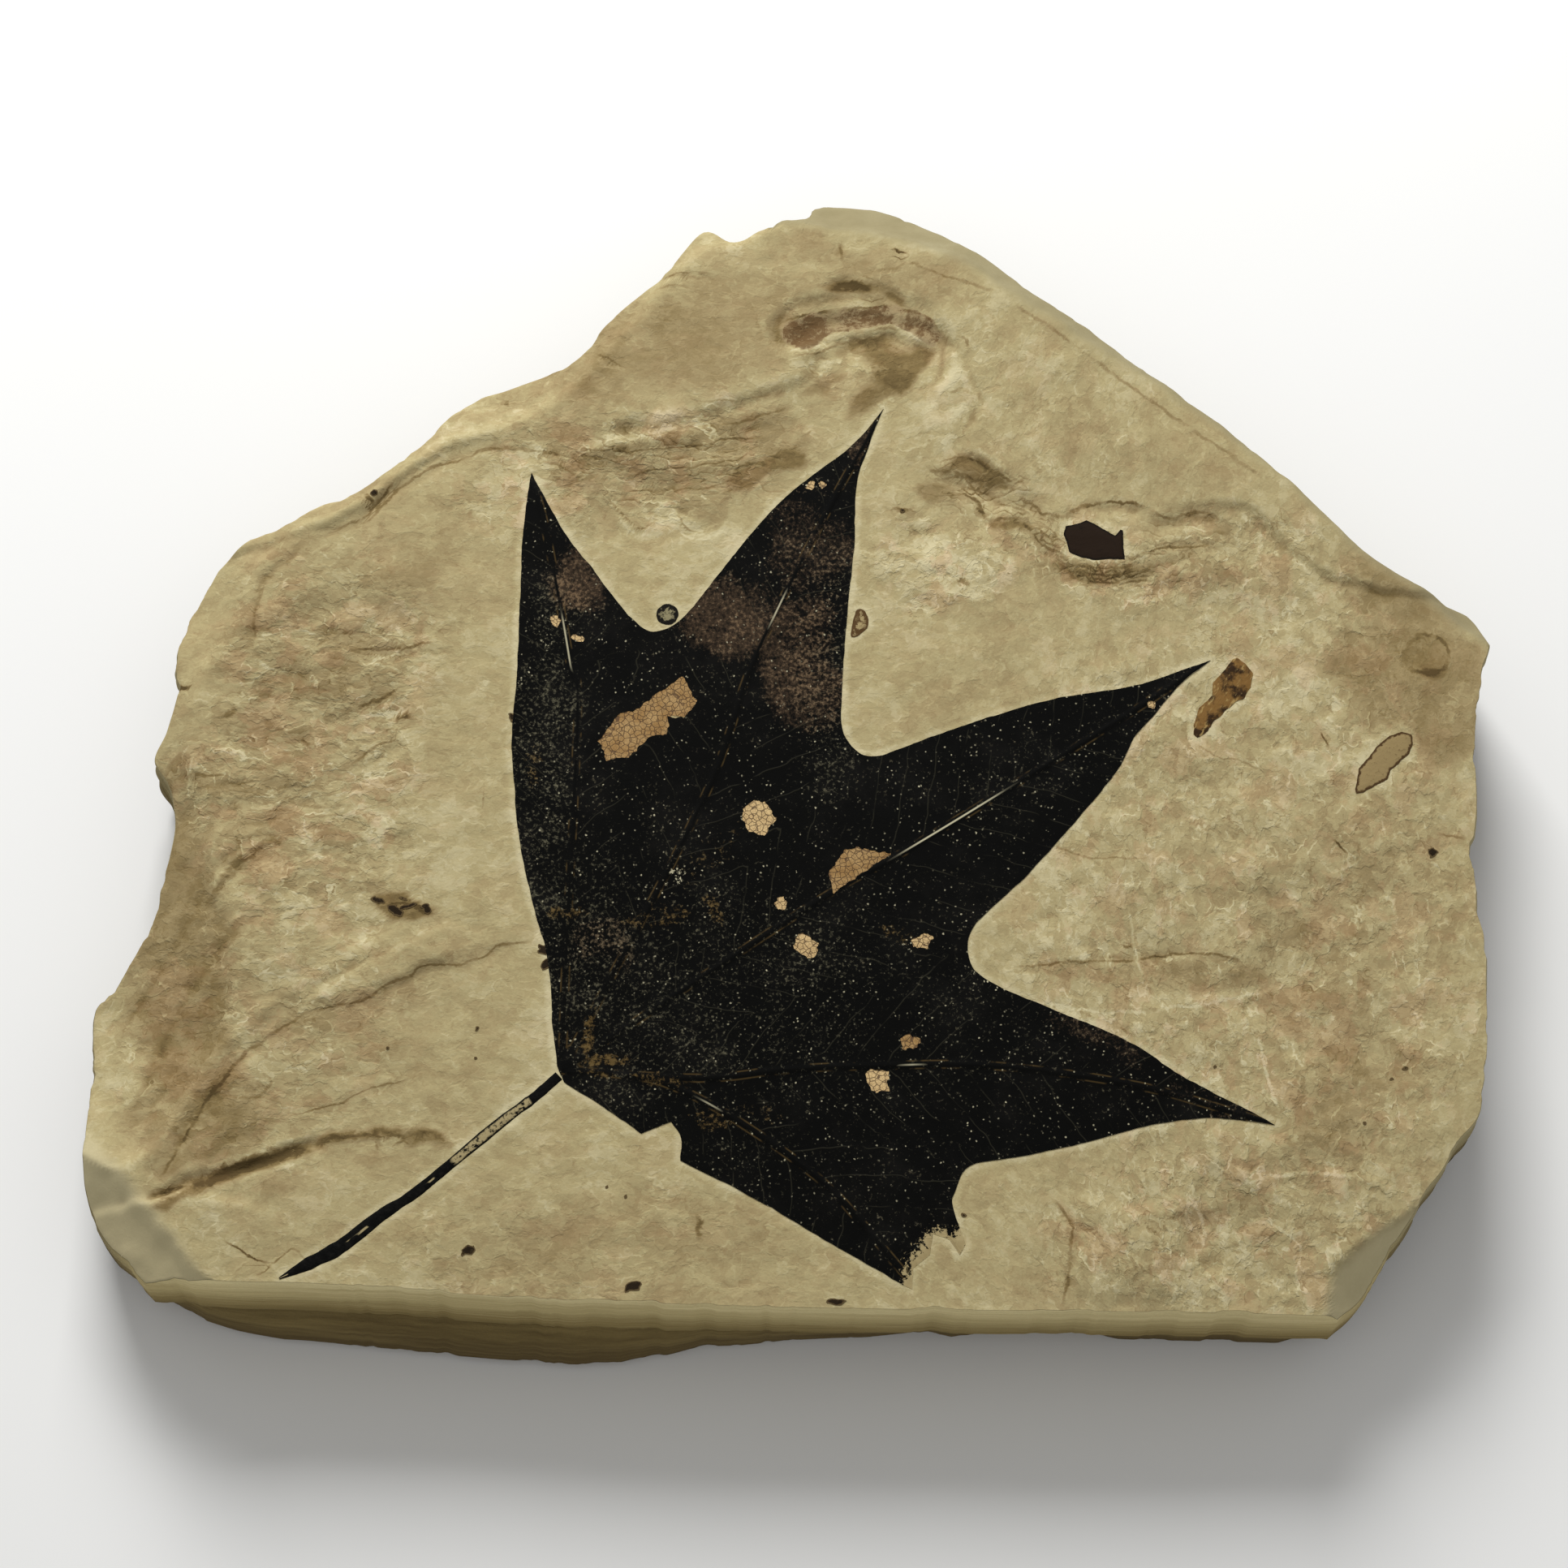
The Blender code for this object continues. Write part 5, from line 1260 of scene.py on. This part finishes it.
def leaf_material(s):
    """Black carbon film with blurry grey specks, brown worn areas, and darker and paler lines on its veins.
    Side veins branch off every 9 mm: along - 0.9 across is the same all the way up one of them."""
    material, place = new_material("black leaf carbon")
    along, across, torn, gilt = place.masks("along across torn gilt")
    brown, dust, pale, chalk = place.masks("brown dust pale chalk")
    soft = place.pushed(1.1, 0.35)
    fine, lumps = soft.noise(0.9, 4.0, 0.7), soft.noise(2.6, 4.0, 0.7)
    wide = place.noise(14, 5.0, 0.62)
    colour = (wide.band(0.45, 0.75) * 0.7).mix(s.carbon, s.carbon_soft)
    worn = (brown * 0.95 + (wide - 0.5) * 0.9 + (lumps - 0.5) * 1.2 + (fine - 0.5) * 2.6).band(0.3, 1.35)
    colour = (worn * 0.9).mix(colour, s.brown)
    ashes = (fine + dust * 0.09 + brown * 0.07 + (lumps - 0.5) * 0.25 + (wide - 0.5) * 0.25).band(0.6, 0.82)
    colour = (ashes * 0.62).mix(colour, brown.mix(s.speck, s.speck_brown))
    stars = soft.cells(1.5).band(0.2, 0.05) * place.noise(6, 4.0, 0.7).band(0.42, 0.66)
    colour = (stars * 0.95).mix(colour, s.speck_bright)
    chevron = (along - across * 0.9 + (place.noise(12, 2.0) - 0.5) * 5) / 9
    branch = (chevron.maths("FRACT") - 0.5).size().band(0.035, 0.0)
    branch = branch * across.band(0.5, 2) * across.band(34, 22) * place.noise(10, 2.0).band(0.42, 0.55)
    colour = (branch * 0.1).mix(colour, s.speck)
    vein = across.band(0.55, 0.2) * soft.noise(5, 3.0).band(0.35, 0.5)
    colour = vein.mix(colour, s.carbon)
    flank = (across - 0.95).size().band(0.3, 0.05) * soft.noise(6, 3.0).band(0.5, 0.6)
    gilded = (gilt + (lumps - 0.5) * 2 + (fine - 0.5) * 2.5).band(0.6, 1.2)
    colour = (flank * 0.35).most(gilded * 0.8).mix(colour, s.vein)
    colour = (pale * across.band(0.3, 0.12) * 0.8).mix(colour, s.speck_bright)
    chalky = (chalk + (fine - 0.5) * 3 + (lumps - 0.5) * 1.5).band(0.85, 1.05)
    colour = (chalky * 0.8).mix(colour, s.speck_bright)
    bare = (torn + (soft.noise(1.3, 4.0, 0.75) - 0.5) * 2.4).band(0.62, 0.74)
    colour = bare.mix(colour, place.noise(4, 4.0).band(0.3, 0.7).mix(s.bare_dark, s.bare))
    bump = fine * 0.2 + branch * 0.3 + place.noise(3, 4.0) * 0.3 + across.band(1.2, 0) * 0.5
    return finish(material, colour, 0.7, bump, 0.2, 0.04)


def tissue_material(s):
    """Tan leaf tissue seen in the windows, crossed by a network of dark brown veinlets: the cell borders of
    two sizes of random cells."""
    material, place = new_material("tan leaf tissue")
    soft = place.pushed(1.5, 0.25)
    wide = soft.cells(1.35, "DISTANCE_TO_EDGE").band(0.08, 0.02)
    fine = soft.cells(0.65, "DISTANCE_TO_EDGE").band(0.12, 0.02)
    paler, = place.masks("paler")
    colour = (place.noise(4, 4.0).band(0.35, 0.65) * 0.3 + paler * 0.7).mix(s.tissue, s.tissue_pale)
    colour = (fine * 0.4).mix(colour, s.veinlet)
    colour = (wide * 0.85).mix(colour, s.veinlet)
    return finish(material, colour, 0.75, 1 - wide, 0.06)


def stem_material(s):
    """Black along its edges; in the worn stretch the middle is bare stone with black bits."""
    material, place = new_material("black stem carbon")
    along, across = place.masks("along across")
    bits = place.noise(1.6, 4.0, 0.65)
    worn = along.band(7, 11) * along.band(36, 28) * 0.9 + along.band(36, 40) * 0.1
    flecks = place.noise(1.0, 4.0, 0.75).band(0.6, 0.5)
    middle = (across.size() + (bits - 0.5) * 0.9).band(0.8, 0.5) * flecks
    through = middle * (worn + (place.noise(5, 3.0) - 0.5) * 0.5).band(0.35, 0.55)
    slits = (across - 0.1).size().band(0.22, 0.1) * place.noise(6, 2.0).band(0.56, 0.6)
    colour = bits.band(0.4, 0.7).mix(s.carbon, s.carbon_soft)
    colour = ((through + slits).least(1) * 0.85).mix(colour, s.bare)
    return finish(material, colour, 0.7, bits, 0.15, 0.05)


def husk_material(name, light, dark, streak, size):
    """Brown husk with darker blotches and pale streaks."""
    material, place = new_material(name)
    soft = place.pushed(1.4, 0.5)
    blotch = soft.noise(size, 5.0, 0.62)
    colour = blotch.band(0.42, 0.6).mix(light, dark)
    along = soft.add("Mapping", {"vector_type": "TEXTURE"},
                     {"Vector": soft, "Rotation": (0, 0, math.radians(58)), "Scale": (4, 0.7, 1)})
    fibres = along.noise(1.1, 3.0)
    colour = (fibres.band(0.56, 0.7) * 0.7).mix(colour, streak)
    return finish(material, colour, 0.7, blotch + fibres * 0.5, 0.25, 0.08)


def film_material(name, fill, line, reach, broken=0.9):
    """A thin film that is darker towards its outline, with mottling, and more speckled where broken."""
    material, place = new_material(name)
    edge, = place.masks("edge")
    noise = place.pushed(0.8, 0.25).noise(1.6 if broken < 1 else 1.2, 4.0, 0.7)
    rim = (edge / reach + (noise - 0.5) * broken).band(0.75, 0.35)
    colour = (rim + noise.band(0.56, 0.7) * 0.5).least(1).mix(fill, line)
    return finish(material, colour, 0.75, noise, 0.12, 0.05)


def floor_material(colour):
    """Pale studio floor with the faintest mottling."""
    material, place = new_material("pale studio floor")
    shade = place.noise(400, 2.0).band(0.2, 0.8)
    return finish(material, shade.mix(colour, tuple(0.97 * c for c in colour)), 0.9, None, 0, 0.1)


# Settings


def colour_setting(name, what, *screen):
    """A colour for what is named, given as it shows on screen."""
    return bpy.props.FloatVectorProperty(name=name, description="Colour of " + what, subtype="COLOR", size=3,
                                         min=0, max=1, default=srgb(*screen))


def length_setting(name, description, default, least, most):
    """A length, its numbers given in millimetres."""
    return bpy.props.FloatProperty(name=name, description=description, default=default * MM, min=least * MM,
                                   max=most * MM, unit="LENGTH", precision=5)


class StoneSettings(bpy.types.PropertyGroup):
    columns: bpy.props.IntProperty(name="Columns", description="Points across the top face", default=300,
                                   min=40, max=310)
    rows: bpy.props.IntProperty(name="Rows", description="Points up the top face", default=250, min=40,
                                max=260)
    relief: bpy.props.FloatProperty(name="Relief", description="Strength of the flakes and short scarps",
                                    default=1.0, min=0, max=2, subtype="FACTOR")
    pale: colour_setting("Pale lips", "broken lips and bright patches", 200, 189, 150)
    cream: colour_setting("Fresh stone", "the fresh, level stone", 175, 161, 118)
    brown: colour_setting("Brown stone", "the mottling", 156, 138, 99)
    stain: colour_setting("Stained stone", "the brownest patches", 128, 109, 70)
    shade: colour_setting("Crevices", "the stone down in cracks and under ledges", 88, 72, 42)
    worn: colour_setting("Worn bevels", "the smooth worn bevels", 146, 137, 106)
    # Painted light: paler than the other bevels because they face away from the key light
    front_bevel_painted_light: colour_setting("Front bevels", "the two front corners' worn bevels", 198, 187, 150)
    worn_dark: colour_setting("Worn bevels, darker", "their darker mottling", 126, 117, 86)
    red: colour_setting("Reddish stone", "the reddish brown patches", 106, 80, 50)
    pink: colour_setting("Pink stone", "the paler parts of those patches", 158, 138, 102)
    side_pale: colour_setting("Upper side", "the sides near the top", 172, 160, 120)
    side_mid: colour_setting("Side layers", "the sides' middle layers", 146, 133, 94)
    side_brown: colour_setting("Lower side", "the sides' lower layers", 112, 98, 62)
    side_dark: colour_setting("Dark layers", "the sides' darkest layers", 74, 62, 38)


class LeafSettings(bpy.types.PropertyGroup):
    spacing: length_setting("Spacing", "Distance between the film's points", 1.2, 0.8, 5)
    thickness: length_setting("Thickness", "Height of the film over the stone", 0.14, 0.05, 0.4)
    vein_rise: length_setting("Vein rise", "How far the main veins stand up", 0.12, 0, 0.4)
    carbon: colour_setting("Carbon", "the film", 7, 7, 6)
    carbon_soft: colour_setting("Worn carbon", "the film where it is thin", 20, 19, 17)
    brown: colour_setting("Brown areas", "the brown areas", 70, 56, 42)
    speck: colour_setting("Specks", "the blurry specks", 116, 112, 90)
    speck_bright: colour_setting("Bright specks", "the sharp specks", 205, 198, 165)
    speck_brown: colour_setting("Brown specks", "the specks in the brown areas", 136, 112, 84)
    vein: colour_setting("Gilt", "the golden brown streaks and vein edges", 104, 84, 48)
    bare: colour_setting("Bare stone", "the stone where the film is gone", 174, 158, 116)
    bare_dark: colour_setting("Bare stone, darker", "its darker mottling", 152, 135, 96)
    tissue: colour_setting("Tissue", "the tissue in the windows", 152, 116, 64)
    tissue_pale: colour_setting("Pale tissue", "its paler parts", 214, 184, 130)
    veinlet: colour_setting("Veinlets", "the network in the windows", 74, 50, 28)


class StudioSettings(bpy.types.PropertyGroup):
    floor: colour_setting("Floor", "the studio floor", 246, 246, 244)
    floor_side: bpy.props.FloatProperty(name="Floor side", description="Length of the floor's sides",
                                        default=8.0, min=1, unit="LENGTH")
    key_power: bpy.props.FloatProperty(name="Key light", description="Power of the soft key light in watts",
                                       default=32.0, min=0)
    sky: bpy.props.FloatProperty(name="Sky", description="Strength of the even light all round",
                                 default=0.38, min=0)


# Operators


class FOSSIL_OT_slab(bpy.types.Operator):
    """Add the stone slab: flaked top, rolled edges and bedded sides"""
    bl_idname = "fossil_plate.slab"
    bl_label = "Stone Slab"

    def execute(self, context):
        s = context.scene.fossil_stone
        places, faces, masks = slab_mesh(s.columns, s.rows, s.relief)
        add_piece("stone_slab", places, faces, stone_material(s), masks, ["slab"], 55)
        return {"FINISHED"}


class FOSSIL_OT_blade(bpy.types.Operator):
    """Add the leaf blade with its veins and its open windows"""
    bl_idname = "fossil_plate.blade"
    bl_label = "Leaf Blade"

    def execute(self, context):
        s = context.scene.fossil_leaf
        spacing, thick, vein_rise = (value / MM for value in (s.spacing, s.thickness, s.vein_rise))
        outline = wobbled(leaf_outline(6), 0.8 * spacing, 0.14, 2.5, 200)
        holes = [wobbled(hole, 0.45, 0.45, 1.1, 210 + k) for k, hole in enumerate(LEAF_WINDOWS)]
        veins = [smooth_path(vein, 8) for vein in VEINS]
        lines = [vein[3:] for vein in veins]

        def torn(plan):
            return ease(1 - np.abs(left_of(plan, np.array(TORN_EDGE, float))) / TORN_REACH)

        def rise(plan):
            gap = np.min([np.abs(left_of(plan, vein)) for vein in veins], axis=0)
            full = thick + vein_rise * ease(1 - gap / VEIN_HALF_WIDTH) + 0.03 * fractal(plan, 3, 220, 3)
            return full * (1 - 0.8 * torn(plan)) + FILM_CLEARANCE

        places, faces, plan = film_mesh(outline, holes, lines, spacing, rise)
        gaps, runs = zip(*[along_path(plan, vein) for vein in veins])
        gaps = np.abs(gaps)
        nearest, row = gaps.argmin(axis=0), np.arange(len(plan))
        masks = {"along": np.array(runs)[nearest, row], "across": gaps[nearest, row], "torn": torn(plan),
                 **soft_masks(plan, LEAF_GROUND)}
        masks = {name: np.tile(mask, 2) for name, mask in masks.items()}
        add_piece("leaf_film", places, faces, leaf_material(s), masks, ["leaf_blade"])
        return {"FINISHED"}


class FOSSIL_OT_windows(bpy.types.Operator):
    """Add the tan tissue that shows in the blade's windows"""
    bl_idname = "fossil_plate.windows"
    bl_label = "Window Tissue"

    def execute(self, context):
        s = context.scene.fossil_leaf
        material = tissue_material(s)
        for k, hole in enumerate(LEAF_WINDOWS):
            middle = np.mean(hole, axis=0)
            reach = np.array(hole) - middle
            ring = middle + reach * (1 + TISSUE_OVERLAP / np.hypot(*reach.T)[:, None])
            ring = wobbled(ring, 1.0, 0.1, 2, 250)
            places, faces, _ = film_mesh(ring, [], [], 1.5, lambda plan: TISSUE_RISE)
            masks = {"paler": np.full(len(places), float(k not in BROWN_WINDOWS))}
            add_piece(f"window_tissue_{k + 1}", places, faces, material, masks)
        return {"FINISHED"}


class FOSSIL_OT_stem(bpy.types.Operator):
    """Add the leaf's stem: a low rounded strip that is worn through near the blade"""
    bl_idname = "fossil_plate.stem"
    bl_label = "Leaf Stem"

    def execute(self, context):
        path = smooth_path(STEM_LINE, 14)
        places, faces, masks = carried_profile(path[:, :2], path[:, 2], 0.2, 11, 260)
        add_piece("stem_film", places, faces, stem_material(context.scene.fossil_leaf), masks,
                  ["leaf_stem"])
        return {"FINISHED"}


class FOSSIL_OT_small_fossils(bpy.types.Operator):
    """Add the scrap of leaf, the husk and its flake, the winged seed and the round seed"""
    bl_idname = "fossil_plate.small_fossils"
    bl_label = "Small Fossils"

    def execute(self, context):
        s = context.scene.fossil_leaf
        brown, dark, streak = srgb(124, 92, 48), srgb(50, 34, 18), srgb(172, 146, 92)
        pieces = [
            ("scrap_film", LEAF_SCRAP, "leaf_scrap", "scrap_carbon",
             film_material("scrap carbon", srgb(38, 28, 20), srgb(26, 20, 15), 0.8)),
            ("husk_film", SEED_HUSK, "seed_husk", "brown_husk",
             husk_material("brown seed husk", brown, dark, streak, 3.5)),
            ("winged_seed_film", WINGED_SEED, "winged_seed", "tan_seed",
             film_material("tan seed wing", srgb(148, 128, 88), srgb(76, 56, 33), 1.0, 1.7)),
            ("husk_flake_film", closed_path(HUSK_FLAKE, 4), "husk_flake", "brown_husk",
             film_material("brown husk flake", srgb(164, 146, 104), srgb(86, 64, 38), 2.2, 3.0)),
            ("round_seed_film", round_seed_outline(30), "round_seed", "dark_seed",
             film_material("dark round seed", srgb(140, 132, 100), srgb(24, 22, 18), 2.6, 3.0)),
        ]
        for k, (name, outline, node, slot, material) in enumerate(pieces):
            ring = wobbled(outline, 0.5, 0.2, 1.8, 270 + k)
            rim = closed(ring)

            def rise(plan, rim=rim, seed=280 + k):
                return 0.1 + 0.12 * ease(np.abs(left_of(plan, rim)) / 1.5) + 0.05 * fractal(plan, 2, seed, 3)

            places, faces, plan = film_mesh(ring, [], [], 0.6, rise)
            masks = {"edge": np.tile(np.abs(left_of(plan, rim)), 2)}
            add_piece(name, places, faces, material, masks, [node])
        return {"FINISHED"}


class FOSSIL_OT_specks(bpy.types.Operator):
    """Add the scattered specks of carbon on the stone"""
    bl_idname = "fossil_plate.specks"
    bl_label = "Carbon Specks"

    def execute(self, context):
        material = film_material("speck carbon", srgb(40, 31, 20), srgb(92, 76, 50), 0.4, 2.0)
        all_places, all_faces, plans, edges, first = [], [], [], [], 0
        circle = unit_circle(18)
        for k, (x, y, half_x, half_y, degrees) in enumerate(SPECKS):
            ring = circle * (half_x, half_y) @ turned(degrees) + (x, y)
            ring = ragged(ring, 1.1, 0.55 * min(half_x, half_y), 300 + k)
            places, faces, plan = film_mesh(ring, [], [], 0.4, lambda plan: SPECK_RISE)
            all_places.append(places)
            all_faces += [[corner + first for corner in face] for face in faces]
            plans += [plan, plan]
            edges.append(np.tile(np.abs(left_of(plan, closed(ring))), 2))
            first += len(places)
        places, plan = np.vstack(all_places), np.vstack(plans)
        level = top_height(plan, context.scene.fossil_stone.relief)[0]
        places[:, 2] += (level - ground(plan)) * MM
        add_piece("carbon_specks", places, all_faces, material, {"edge": np.concatenate(edges)})
        return {"FINISHED"}


# The camera's lens and sensor in millimetres, its distance from the leaf in metres and its elevation in
# degrees, and where the key light is and its side, in metres
LENS, SENSOR, CAMERA_DISTANCE, CAMERA_ELEVATION = 85, 36, 0.9, 70
KEY_PLACE, KEY_SIZE = (-0.25, 1.35, 1.05), 0.8


class FOSSIL_OT_stage(bpy.types.Operator):
    """Add the pale floor, the soft lights and the camera"""
    bl_idname = "fossil_plate.stage"
    bl_label = "Studio"

    def execute(self, context):
        s = context.scene.fossil_studio
        half = s.floor_side / 2
        mesh = bpy.data.meshes.new("studio_floor")
        mesh.from_pydata([(-half, -half, 0), (half, -half, 0), (half, half, 0), (-half, half, 0)], [],
                         [(0, 1, 2, 3)])
        mesh.materials.append(floor_material(s.floor))
        floor = bpy.data.objects.new("studio_floor", mesh)
        context.scene.collection.objects.link(floor)
        floor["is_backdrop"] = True
        world = bpy.data.worlds.new("studio sky")
        world.use_nodes = True
        world.node_tree.nodes["Background"].inputs["Color"].default_value = (1, 1, 1, 1)
        world.node_tree.nodes["Background"].inputs["Strength"].default_value = s.sky
        context.scene.world = world
        add_light("key", KEY_PLACE, KEY_SIZE, s.key_power)
        aim = Vector((*-PLAN_MIDDLE, LEAF_PLANE)) * MM
        camera = bpy.data.cameras.new("camera")
        camera.lens, camera.sensor_width = LENS, SENSOR
        view = bpy.data.objects.new("camera", camera)
        elevation = math.radians(CAMERA_ELEVATION)
        away = Vector((0, -math.cos(elevation), math.sin(elevation)))
        view.location = aim + CAMERA_DISTANCE * away
        view.rotation_euler = (math.pi / 2 - elevation, 0, 0)
        context.scene.collection.objects.link(view)
        context.scene.camera = view
        context.scene.view_settings.view_transform = "Standard"
        return {"FINISHED"}


def add_light(name, place, size, power):
    """A square soft light that faces the slab."""
    light = bpy.data.lights.new(name, "AREA")
    light.size, light.energy = size, power
    lamp = bpy.data.objects.new(name, light)
    lamp.location = place
    lamp.rotation_euler = Vector(place).to_track_quat("Z", "Y").to_euler()
    bpy.context.scene.collection.objects.link(lamp)


class FOSSIL_PT_panel(bpy.types.Panel):
    bl_idname = "FOSSIL_PT_panel"
    bl_label = "Fossil Leaf Plate"
    bl_space_type = "VIEW_3D"
    bl_region_type = "UI"
    bl_category = "Fossil Plate"

    def draw(self, context):
        for settings in (context.scene.fossil_stone, context.scene.fossil_leaf, context.scene.fossil_studio):
            box = self.layout.box()
            for name in settings.__annotations__:
                box.prop(settings, name)
        for operator in OPERATORS:
            self.layout.operator(operator.bl_idname)


SETTINGS = {"fossil_stone": StoneSettings, "fossil_leaf": LeafSettings, "fossil_studio": StudioSettings}
OPERATORS = (FOSSIL_OT_slab, FOSSIL_OT_blade, FOSSIL_OT_windows, FOSSIL_OT_stem, FOSSIL_OT_small_fossils,
             FOSSIL_OT_specks, FOSSIL_OT_stage)


def register():
    for cls in (*SETTINGS.values(), *OPERATORS, FOSSIL_PT_panel):
        bpy.utils.register_class(cls)
    for name, settings in SETTINGS.items():
        setattr(bpy.types.Scene, name, bpy.props.PointerProperty(type=settings))


def unregister():
    for name in SETTINGS:
        delattr(bpy.types.Scene, name)
    for cls in (FOSSIL_PT_panel, *reversed(OPERATORS), *SETTINGS.values()):
        bpy.utils.unregister_class(cls)


def main():
    register()
    for operator in (bpy.ops.fossil_plate.slab, bpy.ops.fossil_plate.blade, bpy.ops.fossil_plate.windows,
                     bpy.ops.fossil_plate.stem, bpy.ops.fossil_plate.small_fossils,
                     bpy.ops.fossil_plate.specks, bpy.ops.fossil_plate.stage):
        operator()


if __name__ == "__main__":
    main()
